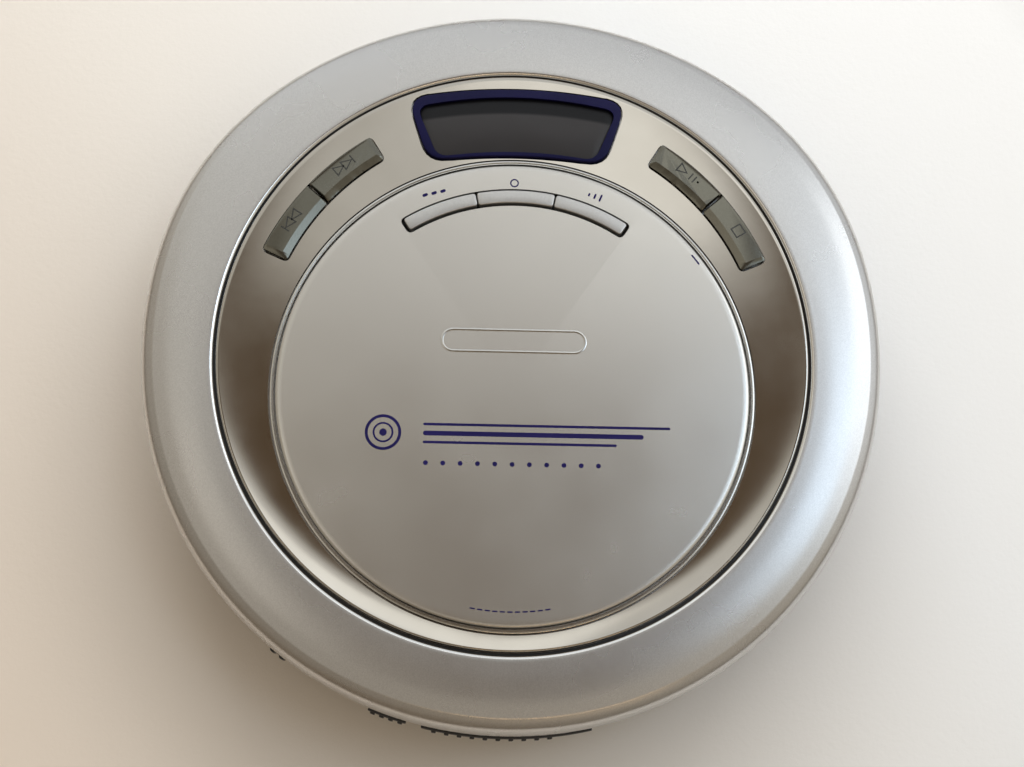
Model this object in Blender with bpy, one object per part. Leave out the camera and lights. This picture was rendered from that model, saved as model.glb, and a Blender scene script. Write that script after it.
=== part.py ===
"""Portable CD player with a clamshell lid. Run with: blender --background --python part.py

+Z is up. The origin is on the resting surface, under the spindle axis. -Y is the front, with the OPEN slide,
and +Y is the rear, with the lid's hinge. Shapes are written in millimetres and turned into metres in solid().
"""

import math

import bmesh
import bpy
from mathutils import Matrix, Vector

MM = 0.001

# ---- plan outline, in mm and degrees ----
BODY_R = 70.2  # radius at the front and the rear
SHOULDER = 1.8  # how far the rear shoulders stand out of that circle
SHOULDER_AT = 33.0  # their direction from +X, and from -X
SHOULDER_WIDE = 27.0
AROUND = 60  # segments round the plan

# ---- heights, in mm ----
CASE_Z = 0.8  # underside of the lower case; the feet reach down to 0
FLOOR_TOP = 2.4
CASE_TOP = 19.4
LID_LOW = 19.9
LID_FLOOR = 27.6  # the recess in the lid that holds the ring and the middle panel
LID_FLOOR_T = 1.2
TOP_Z = 30.0
DECK_TOP = 18.0  # floor of the disc well
DECK_T = 1.2
COVER_LOW = 22.6  # underside of the lid's inner skin
COVER_T = 1.0
BOARD_LOW = 23.9
BOARD_T = 0.6

# ---- plan sizes, in mm ----
WALL = 1.7
GAP = 0.3
WELL_R = 61.8  # a 120 mm disc plus room
RING_R = 56.0  # polished ring
SEAT_R = 56.3  # the recess that it sits in
PANEL_Y = -6.9  # the middle panel is set towards the front
BEZEL_R = 45.4
PANEL_R = 44.4

# ---- keys ----
KEY_Y = -1.5  # centre of the keys' arcs
KEY_IN, KEY_OUT = 47.2, 52.2
KEY_FROM, KEY_SPLIT, KEY_TO = 23.6, 40.4, 57.2  # degrees from +X, the right-hand group
BUTTON_IN, BUTTON_OUT = 36.4, 39.2
BUTTON_ENDS = (56.4, 78.7, 101.3, 123.6)  # degrees, about the middle panel's centre

# ---- hinge, latch and sliders ----
HINGE_Y, HINGE_Z = 65.6, 20.6
HINGE_R, PIN_R = 1.9, 0.8
BASE_LUG, LID_LUG = (3.5, 8.0), (8.5, 13.0)  # along X, on each side
NOTCH_X, NOTCH_Y, NOTCH_Z = 24.6, 63.3, 15.6
SWEEP_R = 5.4  # room for the lid's rear edge as it swings
OPEN_AT, OPEN_HALF = 270.0, 13.0  # degrees
HOLD_AT, HOLD_HALF = 251.6, 3.0
SLIDE_LOW, SLIDE_HIGH = 15.4, 18.9
WHEEL_AT, WHEEL_R, WHEEL_LOW, WHEEL_HIGH = 232.0, 9.0, 12.6, 15.6
WHEEL_FROM_AXIS = 61.7

# ---- battery bay ----
BAY_X = 26.0
BAY_FRONT, BAY_REAR = -56.5, -26.5
BAY_WALL = 1.0
CELL_R = 7.25
DOOR_TOP = 2.0

# ---- disc drive ----
HUB_R, PLATTER_R, HUB_TOP = 7.3, 14.0, 21.5
DISC_Z = 19.6  # underside of a disc on the turntable
CHASSIS_LOW, CHASSIS_TOP = 5.5, 7.0
LENS_X = 24.0  # the pickup's rest place, near the lead-in
LENS_R = 3.0
SLED_HALF = 5.5
ROD_Y, SCREW_Y, DRIVE_Z = 13.0, -11.0, 11.0
ROD_R, SCREW_R = 1.0, 1.2
RAIL_END = 63.5
TOOTH = 1.571  # circular pitch of module 0.5
GEAR_TEETH, PINION_TEETH = 20, 8
MOTOR_Y, MOTOR_R = SCREW_Y - 7.1, 4.0
GEAR_X = (8.9, 10.9)

# ---- where things stand on the lower case, in mm ----
DAMPERS = ((-13.0, 12.0), (-13.0, -12.0), (40.0, 21.0))
SCREWS = ((43.0, 43.0), (-43.0, 43.0), (-58.0, -22.0), (58.0, -22.0))
FEET = ((27.0, 52.0), (-27.0, 52.0), (-46.0, -36.0), (46.0, -36.0))
SWITCH = (-41.6, 49.6)
# Round sockets: direction in degrees, height, barrel radius.
SOCKETS = {
    "headphone_jack": (307.6, 10.0, 3.1),
    "line_out_jack": (322.0, 10.0, 3.1),
    "dc_jack": (60.0, 10.0, 3.1),
}
BORES = {"headphone_jack": 1.75, "line_out_jack": 1.75, "dc_jack": 2.0}
DOOR_Y, DOOR_Z = -26.2, 1.65

# ---- display, in mm: top and bottom at the middle, half widths at the top and the bottom ----
DISPLAY_TOP, DISPLAY_LOW = 53.1, 39.3
DISPLAY_WIDE, DISPLAY_NARROW = 21.3, 17.0
TOP_BOW, LOW_BOW = 2.4, 1.4

# ---- levels shared by the pieces in the lid's top ----
KEY_LOW, KEY_TOP, BUTTON_TOP = 28.6, 30.7, 30.4
STEM_LOW, STEM_TOP = 25.5, 29.5


def clear_scene():
    for obj in list(bpy.data.objects):
        bpy.data.objects.remove(obj, do_unlink=True)


def finish(name, colour, roughness, metallic):
    """A Principled BSDF material."""
    made = bpy.data.materials.new(name)
    made.use_nodes = True
    shader = made.node_tree.nodes["Principled BSDF"]
    shader.inputs["Base Color"].default_value = (*colour, 1.0)
    shader.inputs["Roughness"].default_value = roughness
    shader.inputs["Metallic"].default_value = metallic
    return made


def outline_r(angle):
    """Plan radius of the casing: a circle with two rear shoulders."""
    degrees = math.degrees(angle) % 360
    lift = 0.0
    for centre in (SHOULDER_AT, 180 - SHOULDER_AT):
        off = (degrees - centre + 180) % 360 - 180
        lift += math.exp(-((off / SHOULDER_WIDE) ** 2))
    return BODY_R + SHOULDER * lift


# ---- shapes: each returns a bmesh in millimetres ----
def ring_of(spec, around):
    """Points of one loop: ("edge", inset, z) follows the casing, ("round", radius, z[, y]) is a circle."""
    kind, size, z = spec[:3]
    y = spec[3] if len(spec) > 3 else 0.0
    points = []
    for i in range(around):
        angle = 2 * math.pi * i / around
        r = outline_r(angle) - size if kind == "edge" else size
        points.append((r * math.cos(angle), y + r * math.sin(angle), z))
    return points


def loft(specs, closed=False, around=AROUND):
    """Skins a row of loops, and caps both ends or joins the last loop to the first."""
    bm = bmesh.new()
    loops = [[bm.verts.new(p) for p in ring_of(spec, around)] for spec in specs]
    pairs = list(zip(loops, loops[1:] + loops[:1])) if closed else list(zip(loops, loops[1:]))
    for low, high in pairs:
        for i in range(around):
            j = (i + 1) % around
            bm.faces.new((low[i], low[j], high[j], high[i]))
    if not closed:
        bm.faces.new(loops[0])
        bm.faces.new(loops[-1])
    return bm


def turned(profile, around=32, x=0.0, y=0.0):
    """Turns a profile of (radius, z) round a vertical axis; a radius of 0 closes it at a point."""
    bm = bmesh.new()
    loops = []
    for r, z in profile:
        if r == 0:
            loops.append([bm.verts.new((x, y, z))])
            continue
        angles = [2 * math.pi * i / around for i in range(around)]
        loops.append([bm.verts.new((x + r * math.cos(a), y + r * math.sin(a), z)) for a in angles])
    ends_open = profile[0][0] == 0 and profile[-1][0] == 0
    pairs = zip(loops, loops[1:]) if ends_open else zip(loops, loops[1:] + loops[:1])
    for low, high in pairs:
        for i in range(around):
            j = (i + 1) % around
            corners = [low[i % len(low)], low[j % len(low)], high[j % len(high)], high[i % len(high)]]
            bm.faces.new(list(dict.fromkeys(corners)))
    return bm


def rod(radius, length, around=16):
    """A plain cylinder standing on z = 0."""
    return turned([(0, 0), (radius, 0), (radius, length), (0, length)], around)


def block(low, high):
    bm = bmesh.new()
    bmesh.ops.create_cube(bm, size=1.0)
    size = [b - a for a, b in zip(low, high)]
    middle = [(a + b) / 2 for a, b in zip(low, high)]
    bmesh.ops.scale(bm, vec=size, verts=bm.verts)
    bmesh.ops.translate(bm, vec=middle, verts=bm.verts)
    return bm


def prism(points, low, high):
    """A plan outline pulled up from low to high."""
    bm = bmesh.new()
    base = [bm.verts.new((x, y, low)) for x, y in points]
    roof = [bm.verts.new((x, y, high)) for x, y in points]
    bm.faces.new(base)
    bm.faces.new(roof)
    for i in range(len(points)):
        j = (i + 1) % len(points)
        bm.faces.new((base[i], base[j], roof[j], roof[i]))
    return bm


def turn_about(bm, degrees, axis):
    matrix = Matrix.Rotation(math.radians(degrees), 3, axis)
    bmesh.ops.rotate(bm, cent=(0, 0, 0), matrix=matrix, verts=bm.verts)


def moved(bm, to, turn=None):
    """Turns by an (angle in degrees, axis) pair, then moves."""
    if turn:
        turn_about(bm, *turn)
    bmesh.ops.translate(bm, vec=to, verts=bm.verts)
    return bm


def arc(radius, start, stop, steps, y=0.0):
    """Plan points on a circle round (0, y), from one angle in degrees to another."""
    angles = [math.radians(start + (stop - start) * i / steps) for i in range(steps + 1)]
    return [(radius * math.cos(a), y + radius * math.sin(a)) for a in angles]


def sector(inner, outer, start, stop, y=0.0, steps=6):
    """Plan outline of a piece of a ring."""
    return arc(outer, start, stop, steps, y) + arc(inner, stop, start, steps, y)


def edge_band(inset_out, inset_in, start, stop, low, high, steps=10):
    """A strip along the casing's edge."""
    def at(inset, degrees):
        angle = math.radians(degrees)
        r = outline_r(angle) - inset
        return (r * math.cos(angle), r * math.sin(angle))

    angles = [start + (stop - start) * i / steps for i in range(steps + 1)]
    points = [at(inset_out, a) for a in angles] + [at(inset_in, a) for a in reversed(angles)]
    return prism(points, low, high)


# ---- objects ----
def to_mesh(name, bm):
    bmesh.ops.recalc_face_normals(bm, faces=bm.faces)
    bmesh.ops.scale(bm, vec=(MM, MM, MM), verts=bm.verts)
    mesh = bpy.data.meshes.new(name)
    bm.to_mesh(mesh)
    bm.free()
    mesh.shade_smooth()
    mesh.set_sharp_from_angle(angle=math.radians(32))
    return mesh


def solid(name, bm, material, parent=None):
    """A named object from a bmesh. Its origin is at its parent's, which lies on its joint's axis."""
    origin = parent.matrix_world.translation if parent else Vector()
    mesh = to_mesh(name, bm)
    mesh.transform(Matrix.Translation(-origin))
    mesh.materials.append(material)
    obj = bpy.data.objects.new(name, mesh)
    bpy.context.collection.objects.link(obj)
    obj.parent = parent
    return obj


def axis_point(name, x, y, z, parent=None):
    """An empty on a joint's axis, in world millimetres."""
    empty = bpy.data.objects.new(name, None)
    bpy.context.collection.objects.link(empty)
    empty.parent = parent
    here = parent.matrix_world.translation if parent else Vector()
    empty.location = Vector((x, y, z)) * MM - here
    bpy.context.view_layer.update()
    return empty


def combine(obj, bm, operation):
    helper = bpy.data.objects.new(obj.name + "_tool", to_mesh(obj.name + "_tool", bm))
    bpy.context.collection.objects.link(helper)
    helper.hide_render = True
    helper.display_type = "WIRE"
    change = obj.modifiers.new(operation.lower(), "BOOLEAN")
    change.operation = operation
    change.object = helper


def cut(obj, *shapes):
    for bm in shapes:
        combine(obj, bm, "DIFFERENCE")


def join(obj, *shapes):
    for bm in shapes:
        combine(obj, bm, "UNION")


# ---- lower half ----
def hinge_axis_cylinder(radius, x0, x1):
    return moved(rod(radius, x1 - x0, 16), (x0, HINGE_Y, HINGE_Z), (90, "Y"))


def make_lower_case(dark, rubber, metal):
    case = solid(
        "lower_case",
        loft([
            ("edge", 6.5, CASE_Z), ("edge", 3.4, 1.9), ("edge", 1.8, 4.4), ("edge", 1.0, 9.0),
            ("edge", 0.5, CASE_TOP), ("edge", 0.5 + WALL, CASE_TOP), ("edge", 1.0 + WALL, 9.0),
            ("edge", 1.8 + WALL, 5.0), ("edge", 5.8, FLOOR_TOP),
        ]),
        dark,
    )
    # Posts for the drive's rubber mounts and for the screws, then the two hinge brackets.
    join(case, *[turned([(0, 1.6), (1.6, 1.6), (1.6, 9.0), (0, 9.0)], 10, x, y) for x, y in DAMPERS])
    join(case, *[turned([(0, 1.6), (3.6, 1.6), (3.6, 16.4), (0, 16.4)], 12, x, y) for x, y in SCREWS])
    cut(case, hinge_axis_cylinder(SWEEP_R, -NOTCH_X, NOTCH_X))
    for side in (-1, 1):
        low, high = sorted(side * x for x in BASE_LUG)
        join(case, block((low + 0.4, HINGE_Y - 1.8, 2.0), (high - 0.4, HINGE_Y + 0.2, HINGE_Z)))
        join(case, hinge_axis_cylinder(HINGE_R, low, high))
        cut(case, hinge_axis_cylinder(PIN_R + GAP, low - 1, high + 1))
    # The battery door's opening, foot pockets and screw holes.
    cut(case, block((-BAY_X - 1.6, BAY_FRONT - 0.6, 0), (BAY_X + 1.6, BAY_REAR + 1.6, 3)))
    for low, high in ((-14.4, -12.4), (12.4, 14.4)):
        join(case, block((low, DOOR_Y - 1.0, CASE_Z + 0.1), (high, BAY_REAR + 2.2, 2.7)))
        cut(case, moved(rod(0.7, 3, 12), (low - 0.5, DOOR_Y, DOOR_Z), (90, "Y")))
    cut(case, *[turned([(0, -1), (4.5, -1), (4.5, 1.7), (0, 1.7)], 14, x, y) for x, y in FEET])
    for x, y in SCREWS:
        cut(case, turned([(0, -1), (2.4, -1), (2.4, 3.6), (1.3, 3.6), (1.3, 13.0), (0, 13.0)], 10, x, y))
    # Holes in the wall for the controls and sockets.
    cut(case, edge_band(-3, 6, OPEN_AT - 4.2, OPEN_AT + 7.6, 16.0, 18.3, 6))
    cut(case, edge_band(-3, 6, HOLD_AT - 3.0, HOLD_AT + 3.0, 16.0, 18.3, 4))
    cut(case, edge_band(-3, 8, WHEEL_AT - 6.0, WHEEL_AT + 6.0, WHEEL_LOW - GAP, WHEEL_HIGH + GAP, 4))
    for angle, z, radius in SOCKETS.values():
        cut(case, spoke(radius + GAP, 55, 80, angle, z))
    for i, (x, y) in enumerate(FEET):
        solid(f"foot_{i + 1}", turned([(0, 0), (3.7, 0), (4.2, 0.5), (4.2, 1.4), (0, 1.4)], 14, x, y), rubber)
    for i, (x, y) in enumerate(SCREWS):
        head = [(0, 1.4), (2.0, 1.4), (2.0, 3.3), (1.0, 3.3), (1.0, 12.5), (0, 12.5)]
        screw = solid(f"case_screw_{i + 1}", turned(head, 10, x, y), metal)
        cut(screw, block((x - 1.5, y - 0.3, 1), (x + 1.5, y + 0.3, 2.2)))
        cut(screw, block((x - 0.3, y - 1.5, 1), (x + 0.3, y + 1.5, 2.2)))


def spoke(radius, start, stop, degrees, z, around=14):
    """A cylinder along a plan radius."""
    bm = moved(rod(radius, stop - start, around), (start, 0, z), (90, "Y"))
    turn_about(bm, degrees, "Z")
    return bm


def make_deck(dark):
    """The disc well's floor with its rim, open where the turntable and the pickup show."""
    low = DECK_TOP - DECK_T
    rim = 0.5 + WALL + GAP
    deck = solid(
        "deck",
        loft([
            ("edge", rim + 1.3, low), ("edge", rim, CASE_TOP - 1.6), ("edge", rim, CASE_TOP),
            ("round", WELL_R, CASE_TOP), ("round", WELL_R - 0.5, DECK_TOP),
        ]),
        dark,
    )
    cut(deck, block((-NOTCH_X, NOTCH_Y, NOTCH_Z), (NOTCH_X, 75, 25)))
    cut(deck, turned([(0, 15), (PLATTER_R + 1.5, 15), (PLATTER_R + 1.5, 20), (0, 20)], 32))
    cut(deck, block((10, -7, 15), (WELL_R - 1.2, 7, 19)))
    cut(deck, block((-3.6, -69, 15), (3.6, -63.4, 21)))
    cut(deck, edge_band(-3, 7, OPEN_AT - 4.4, OPEN_AT + 8.2, 15.6, 18.7, 4))
    cut(deck, edge_band(-3, 7, HOLD_AT - 3.5, HOLD_AT + 3.5, 15.6, 18.7, 2))
    x, y = SWITCH
    cut(deck, block((x - 1.6, y - 1.6, 15), (x + 1.6, y + 1.6, 21)))


def make_battery_bay(dark, metal):
    low, high = 2.8, DECK_TOP - DECK_T - GAP
    outer_x, front, rear = BAY_X + BAY_WALL, BAY_FRONT - BAY_WALL, BAY_REAR + BAY_WALL
    bay = solid("battery_box", block((-outer_x, front, low), (outer_x, rear, high)), dark)
    cut(bay, block((-BAY_X, BAY_FRONT, 0), (BAY_X, BAY_REAR, 20)))
    rows = (BAY_FRONT + CELL_R + 0.4, BAY_REAR - CELL_R - 0.4)
    for side, name in ((-1, "left"), (1, "right")):
        face = side * (BAY_X - GAP)
        inner = side * (BAY_X - GAP - 0.5)
        plate = block((min(face, inner), BAY_FRONT + 1.5, 4.5), (max(face, inner), BAY_REAR - 1.5, 14.5))
        solid(f"battery_contact_{name}", plate, metal)
        y = rows[0] if side < 0 else rows[1]
        start = inner - side * GAP
        solid(f"battery_spring_{name}", contact_spring(start, y, -side), metal)
    pin = moved(rod(0.4, 27.6, 12), (-13.8, DOOR_Y, DOOR_Z), (90, "Y"))
    solid("battery_door_pin", pin, metal)
    door_axis = axis_point("battery_door_axis", 0, DOOR_Y, DOOR_Z)
    plate = block((-BAY_X - 1.2, BAY_FRONT - 0.3, CASE_Z), (BAY_X + 1.2, DOOR_Y - 1.7, DOOR_TOP))
    door = solid("battery_door", plate, dark, door_axis)
    join(door, block((-12, DOOR_Y - 2.2, CASE_Z), (12, DOOR_Y, DOOR_TOP)))
    join(door, moved(rod(0.85, 24, 16), (-12, DOOR_Y, DOOR_Z), (90, "Y")))
    cut(door, moved(rod(0.6, 26, 12), (-13, DOOR_Y, DOOR_Z), (90, "Y")))
    for i in range(3):
        y = BAY_FRONT + 3 + 1.6 * i
        cut(door, block((-6, y, 0), (6, y + 0.7, CASE_Z + 0.4)))


def contact_spring(x, y, direction):
    """A conical coil that stands on a contact plate, along X."""
    turns, per_turn, wire, length, middle_z = 3, 8, 0.3, 3.4, 9.3
    path = []
    for i in range(turns * per_turn + 1):
        share = i / (turns * per_turn)
        angle = 2 * math.pi * turns * share
        r = 3.6 - 1.8 * share
        along = x + direction * (wire + 0.05 + length * share)
        path.append(Vector((along, y + r * math.cos(angle), middle_z + r * math.sin(angle))))
    return tube(path, wire, 4)


def tube(path, radius, sides):
    """A closed tube along points."""
    bm = bmesh.new()
    loops = []
    for i, point in enumerate(path):
        ahead = (path[min(i + 1, len(path) - 1)] - path[max(i - 1, 0)]).normalized()
        across = ahead.cross(Vector((1, 0, 0))).normalized()
        other = ahead.cross(across)
        turns = [2 * math.pi * k / sides for k in range(sides)]
        around = [across * math.cos(a) + other * math.sin(a) for a in turns]
        loops.append([bm.verts.new(point + radius * way) for way in around])
    for low, high in zip(loops, loops[1:]):
        for k in range(sides):
            m = (k + 1) % sides
            bm.faces.new((low[k], low[m], high[m], high[k]))
    bm.faces.new(loops[0])
    bm.faces.new(loops[-1])
    return bm


def make_sockets(dark, metal):
    """Three round sockets, each a barrel with a blind hole that opens outwards."""
    for name, (angle, z, radius) in SOCKETS.items():
        start = outline_r(math.radians(angle)) - 11.5
        stop = outline_r(math.radians(angle)) - (0.0 if name == "headphone_jack" else 0.7)
        jack = solid(name, spoke(radius, start, stop, angle, z), metal if name == "headphone_jack" else dark)
        join(jack, jack_body(start - 2.0, start + 4.5, angle, z))
        cut(jack, spoke(BORES[name], start + 1.0, stop + 2, angle, z))


def jack_body(start, stop, degrees, z):
    bm = block((start, -4.2, z - 3.6), (stop, 4.2, z + 3.6))
    turn_about(bm, degrees, "Z")
    return bm


def make_sliders(dark):
    """The OPEN slide and the HOLD slide run round the casing's edge, so each turns about the spindle axis."""
    for name, middle, half, tongue, ribs, start, step in (
        ("open_slider", OPEN_AT, OPEN_HALF, 3.4, 10, -11.0, 1.95),
        ("hold_switch", HOLD_AT, HOLD_HALF, 1.2, 4, -2.2, 1.45),
    ):
        axis = axis_point(name + "_axis", 0, 0, 0)
        band = edge_band(-0.4, 0.2, middle - half, middle + half, SLIDE_LOW, SLIDE_HIGH, 12)
        slide = solid(name, band, dark, axis)
        join(slide, edge_band(-0.1, 2.9, middle - tongue, middle + tongue, 16.3, 18.0, 3))
        for i in range(ribs):
            at = middle + start + step * i
            rib = edge_band(-0.75, -0.2, at - 0.35, at + 0.35, SLIDE_LOW + 0.4, SLIDE_HIGH - 0.4, 1)
            join(slide, rib)


def make_volume(dark, metal):
    x, y = (WHEEL_FROM_AXIS * f(math.radians(WHEEL_AT)) for f in (math.cos, math.sin))
    axis = axis_point("volume_axis", x, y, 0)
    teeth = 24
    points = []
    for i in range(teeth):
        for share, r in ((-0.28, WHEEL_R - 0.4), (-0.16, WHEEL_R), (0.16, WHEEL_R), (0.28, WHEEL_R - 0.4)):
            a = 2 * math.pi * (i + share) / teeth
            points.append((x + r * math.cos(a), y + r * math.sin(a)))
    wheel = solid("volume_wheel", prism(points, WHEEL_LOW, WHEEL_HIGH), dark, axis)
    cut(wheel, turned([(0, 12), (1.8, 12), (1.8, 16), (0, 16)], 16, x, y))
    body = [(0, 6.4), (4.7, 6.4), (4.7, 11.6), (1.5, 11.6), (1.5, 14.6), (0, 14.6)]
    solid("volume_control", turned(body, 20, x, y), metal)


def make_lid_switch(dark):
    """A plunger that the lid pushes down, which tells the player that it is shut."""
    x, y = SWITCH
    axis = axis_point("lid_switch_axis", x, y, 0)
    stem = block((x - 1.2, y - 1.2, 12.2), (x + 1.2, y + 1.2, 21.9))
    plunger = solid("lid_switch_plunger", stem, dark, axis)
    join(plunger, block((x - 2.0, y - 1.2, 12.2), (x + 2.0, y + 1.2, 13.4)))


def make_board(green):
    left = arc(56.5, 112, 204, 10)
    board = solid("main_board", prism(left + [(-19.5, -23.0), (-19.5, 52.0)], 4.6, 5.8), green)
    # The signal chips.
    join(board, block((-44, 6, 5.6), (-30, 20, 7.4)), block((-36, -14, 5.6), (-28, -6, 7.0)))


# ---- disc drive ----
def make_chassis(metal, rubber):
    """The sprung plate that carries the whole drive, with upright brackets for the rod and the feed screw."""
    plate = solid("drive_chassis", block((-17.5, -15.5, CHASSIS_LOW), (RAIL_END, 17.0, CHASSIS_TOP)), metal)
    join(plate, block((34, 16, CHASSIS_LOW), (46, 25.5, CHASSIS_TOP)))
    join(plate, block((11.6, -22.4, CHASSIS_LOW), (13.6, SCREW_Y + 2.6, DRIVE_Z + 2.6)))
    bracket_top = DRIVE_Z + 2.6
    join(plate, block((RAIL_END - 2.5, SCREW_Y - 2.6, CHASSIS_LOW), (RAIL_END, SCREW_Y + 2.6, bracket_top)))
    for x in (12.6, RAIL_END - 1.25):
        join(plate, block((x - 1.25, ROD_Y - 2.4, CHASSIS_LOW), (x + 1.25, ROD_Y + 2.4, DRIVE_Z + 2.4)))
    cut(plate, block((7.6, -17, 4), (11.6, -4, 9)))
    cut(plate, block((18, -6, 4), (RAIL_END - 6, 9, 9)))
    cut(plate, along_x(SCREW_R + GAP, 5, RAIL_END + 1, SCREW_Y, DRIVE_Z))
    cut(plate, along_x(ROD_R + GAP, 5, RAIL_END + 1, ROD_Y, DRIVE_Z))
    cut(plate, along_x(1.4, 5, 15, MOTOR_Y, DRIVE_Z))
    cut(plate, *[turned([(0, 4), (3.0, 4), (3.0, 9), (0, 9)], 16, x, y) for x, y in DAMPERS])
    grommet = [(1.9, 3.9), (4.0, 3.9), (4.0, 5.2), (2.7, 5.2), (2.7, 7.3), (4.0, 7.3), (4.0, 8.3), (1.9, 8.3)]
    for i, (x, y) in enumerate(DAMPERS):
        solid(f"damper_{i + 1}", turned(grommet, 16, x, y), rubber)


def along_x(radius, start, stop, y, z, around=12):
    return moved(rod(radius, stop - start, around), (start, y, z), (90, "Y"))


def make_turntable(dark, metal):
    """Spindle motor and turntable. The hub holds a disc with three spring-loaded balls."""
    can = [(1.2, 7.3), (9.5, 7.3), (10.0, 7.8), (10.0, 13.2), (9.0, 13.8), (1.2, 13.8)]
    solid("spindle_motor", turned(can, 20), metal)
    axis = axis_point("spindle_axis", 0, 0, 0)
    profile = [
        (0, 8.2), (0.9, 8.2), (0.9, 14.4), (4.0, 14.4), (4.0, 18.5), (PLATTER_R - 0.6, 18.5),
        (PLATTER_R, 18.9), (PLATTER_R, DISC_Z - GAP), (HUB_R + 0.5, DISC_Z - GAP), (HUB_R, DISC_Z),
        (HUB_R, 20.6), (HUB_R - 1.6, HUB_TOP), (0, HUB_TOP),
    ]
    table = solid("turntable", turned(profile, 28), dark, axis)
    for i in range(3):
        angle = math.radians(90 + 120 * i)
        ball = bmesh.new()
        bmesh.ops.create_uvsphere(ball, u_segments=8, v_segments=4, radius=0.9)
        out = HUB_R - 0.45
        join(table, moved(ball, (out * math.cos(angle), out * math.sin(angle), 20.3)))


def make_pickup(black, glass, metal):
    """The sled, its lens and the rod that it slides on."""
    axis = axis_point("sled_axis", LENS_X, 0, DRIVE_Z)
    low, high = LENS_X - SLED_HALF, LENS_X + SLED_HALF
    sled = solid("pickup_sled", block((low, -13.6, 8.3), (high, 15.6, 13.6)), black, axis)
    join(sled, block((LENS_X - 5.0, -5.6, 13.0), (LENS_X + 5.0, 5.6, 16.2)))
    cut(sled, along_x(ROD_R + GAP, low - 1, high + 1, ROD_Y, DRIVE_Z))
    cut(sled, along_x(SCREW_R + GAP, low - 1, high + 1, SCREW_Y, DRIVE_Z))
    cut(sled, turned([(0, 14.6), (LENS_R + GAP, 14.6), (LENS_R + GAP, 18), (0, 18)], 16, LENS_X))
    dome = [(0, 15.0), (LENS_R, 15.0), (LENS_R, 16.8), (2.2, 17.1), (1.2, 17.4), (0, 17.5)]
    solid("objective_lens", turned(dome, 16, LENS_X), glass, axis)
    solid("guide_rod", along_x(ROD_R, 11.6, RAIL_END - 0.2, ROD_Y, DRIVE_Z), metal)


def toothed(teeth, low, high, y, turn):
    """A spur gear of module 0.5 with slim teeth, on an axis along X."""
    pitch_r = teeth * TOOTH / (2 * math.pi)
    tip, root = pitch_r + 0.4, pitch_r - 0.65
    step = 2 * math.pi / teeth
    points = []
    for i in range(teeth):
        for share, r in ((-0.24, root), (-0.09, tip), (0.09, tip), (0.24, root)):
            angle = (i + share + turn) * step
            points.append((r * math.cos(angle), r * math.sin(angle)))
    bm = prism(points, 0, high - low)
    return moved(bm, (low, y, DRIVE_Z), (90, "Y"))


def make_feed(metal, white, black):
    """The motor's pinion drives the gear on the feed screw, which moves the pickup."""
    screw_axis = axis_point("screw_axis", 0, SCREW_Y, DRIVE_Z)
    shaft = along_x(SCREW_R, GEAR_X[0] - 0.6, RAIL_END - 0.2, SCREW_Y, DRIVE_Z)
    solid("feed_screw", shaft, metal, screw_axis)
    gear = solid("screw_gear", toothed(GEAR_TEETH, *GEAR_X, SCREW_Y, 0.0), white, screw_axis)
    cut(gear, along_x(SCREW_R + 0.05, GEAR_X[0] - 1, GEAR_X[1] + 1, SCREW_Y, DRIVE_Z))
    pinion_axis = axis_point("pinion_axis", 0, MOTOR_Y, DRIVE_Z)
    pinion = solid("motor_pinion", toothed(PINION_TEETH, *GEAR_X, MOTOR_Y, 0.5), white, pinion_axis)
    join(pinion, along_x(0.8, GEAR_X[1] - 0.5, 17.0, MOTOR_Y, DRIVE_Z, 12))
    motor = solid("sled_motor", along_x(MOTOR_R, 13.9, 30.0, MOTOR_Y, DRIVE_Z, 24), black)
    cut(motor, along_x(1.1, 13, 18.0, MOTOR_Y, DRIVE_Z, 12))


# ---- lid ----
def rounded(corners, radius, steps=3):
    """Plan outline with each corner rounded by a small arc through its two tangent points."""
    points = []
    for i, here in enumerate(corners):
        before, after = Vector(corners[i - 1]), Vector(corners[(i + 1) % len(corners)])
        here = Vector(here)
        a = here + (before - here).normalized() * radius
        b = here + (after - here).normalized() * radius
        for k in range(steps + 1):
            t = k / steps
            points.append(tuple((1 - t) ** 2 * a + 2 * t * (1 - t) * here + t * t * b))
    return points


def display_outline(inset_top, inset_side, inset_low, radius):
    """The display's four-sided outline, bowed at the top and the bottom."""
    top = DISPLAY_TOP - inset_top
    low = DISPLAY_LOW + inset_low
    wide, narrow = DISPLAY_WIDE - inset_side, DISPLAY_NARROW - inset_side
    upper, lower = top - TOP_BOW, low - LOW_BOW
    corners = rounded([(wide, upper), (narrow, lower), (-narrow, lower), (-wide, upper)], radius)
    count = len(corners) // 4
    bottom_bow = [(share * narrow, low - LOW_BOW * share**2) for share in (0.6, 0.2, -0.2, -0.6)]
    top_bow = [(share * wide, top - TOP_BOW * share**2) for share in (-0.7, -0.35, 0.0, 0.35, 0.7)]
    return corners[: 2 * count] + bottom_bow + corners[2 * count :] + top_bow


def key_plan(inner, outer, start, stop, centre, radius=0.9, steps=5):
    """A piece of a ring with rounded ends, as a plan outline."""
    turn = math.degrees(radius / outer)
    points = arc(outer, start + turn, stop - turn, steps, centre)
    points += rounded_corner(inner, outer, stop, radius, centre)
    points += arc(inner, stop - turn, start + turn, steps, centre)
    points += [(x, y) for x, y in reversed(rounded_corner(inner, outer, start, radius, centre))]
    return points


def rounded_corner(inner, outer, degrees, radius, centre):
    a = math.radians(degrees)
    return [(r * math.cos(a), centre + r * math.sin(a)) for r in (outer - radius, inner + radius)]


def mirrored(points):
    return [(-x, y) for x, y in points]


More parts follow.
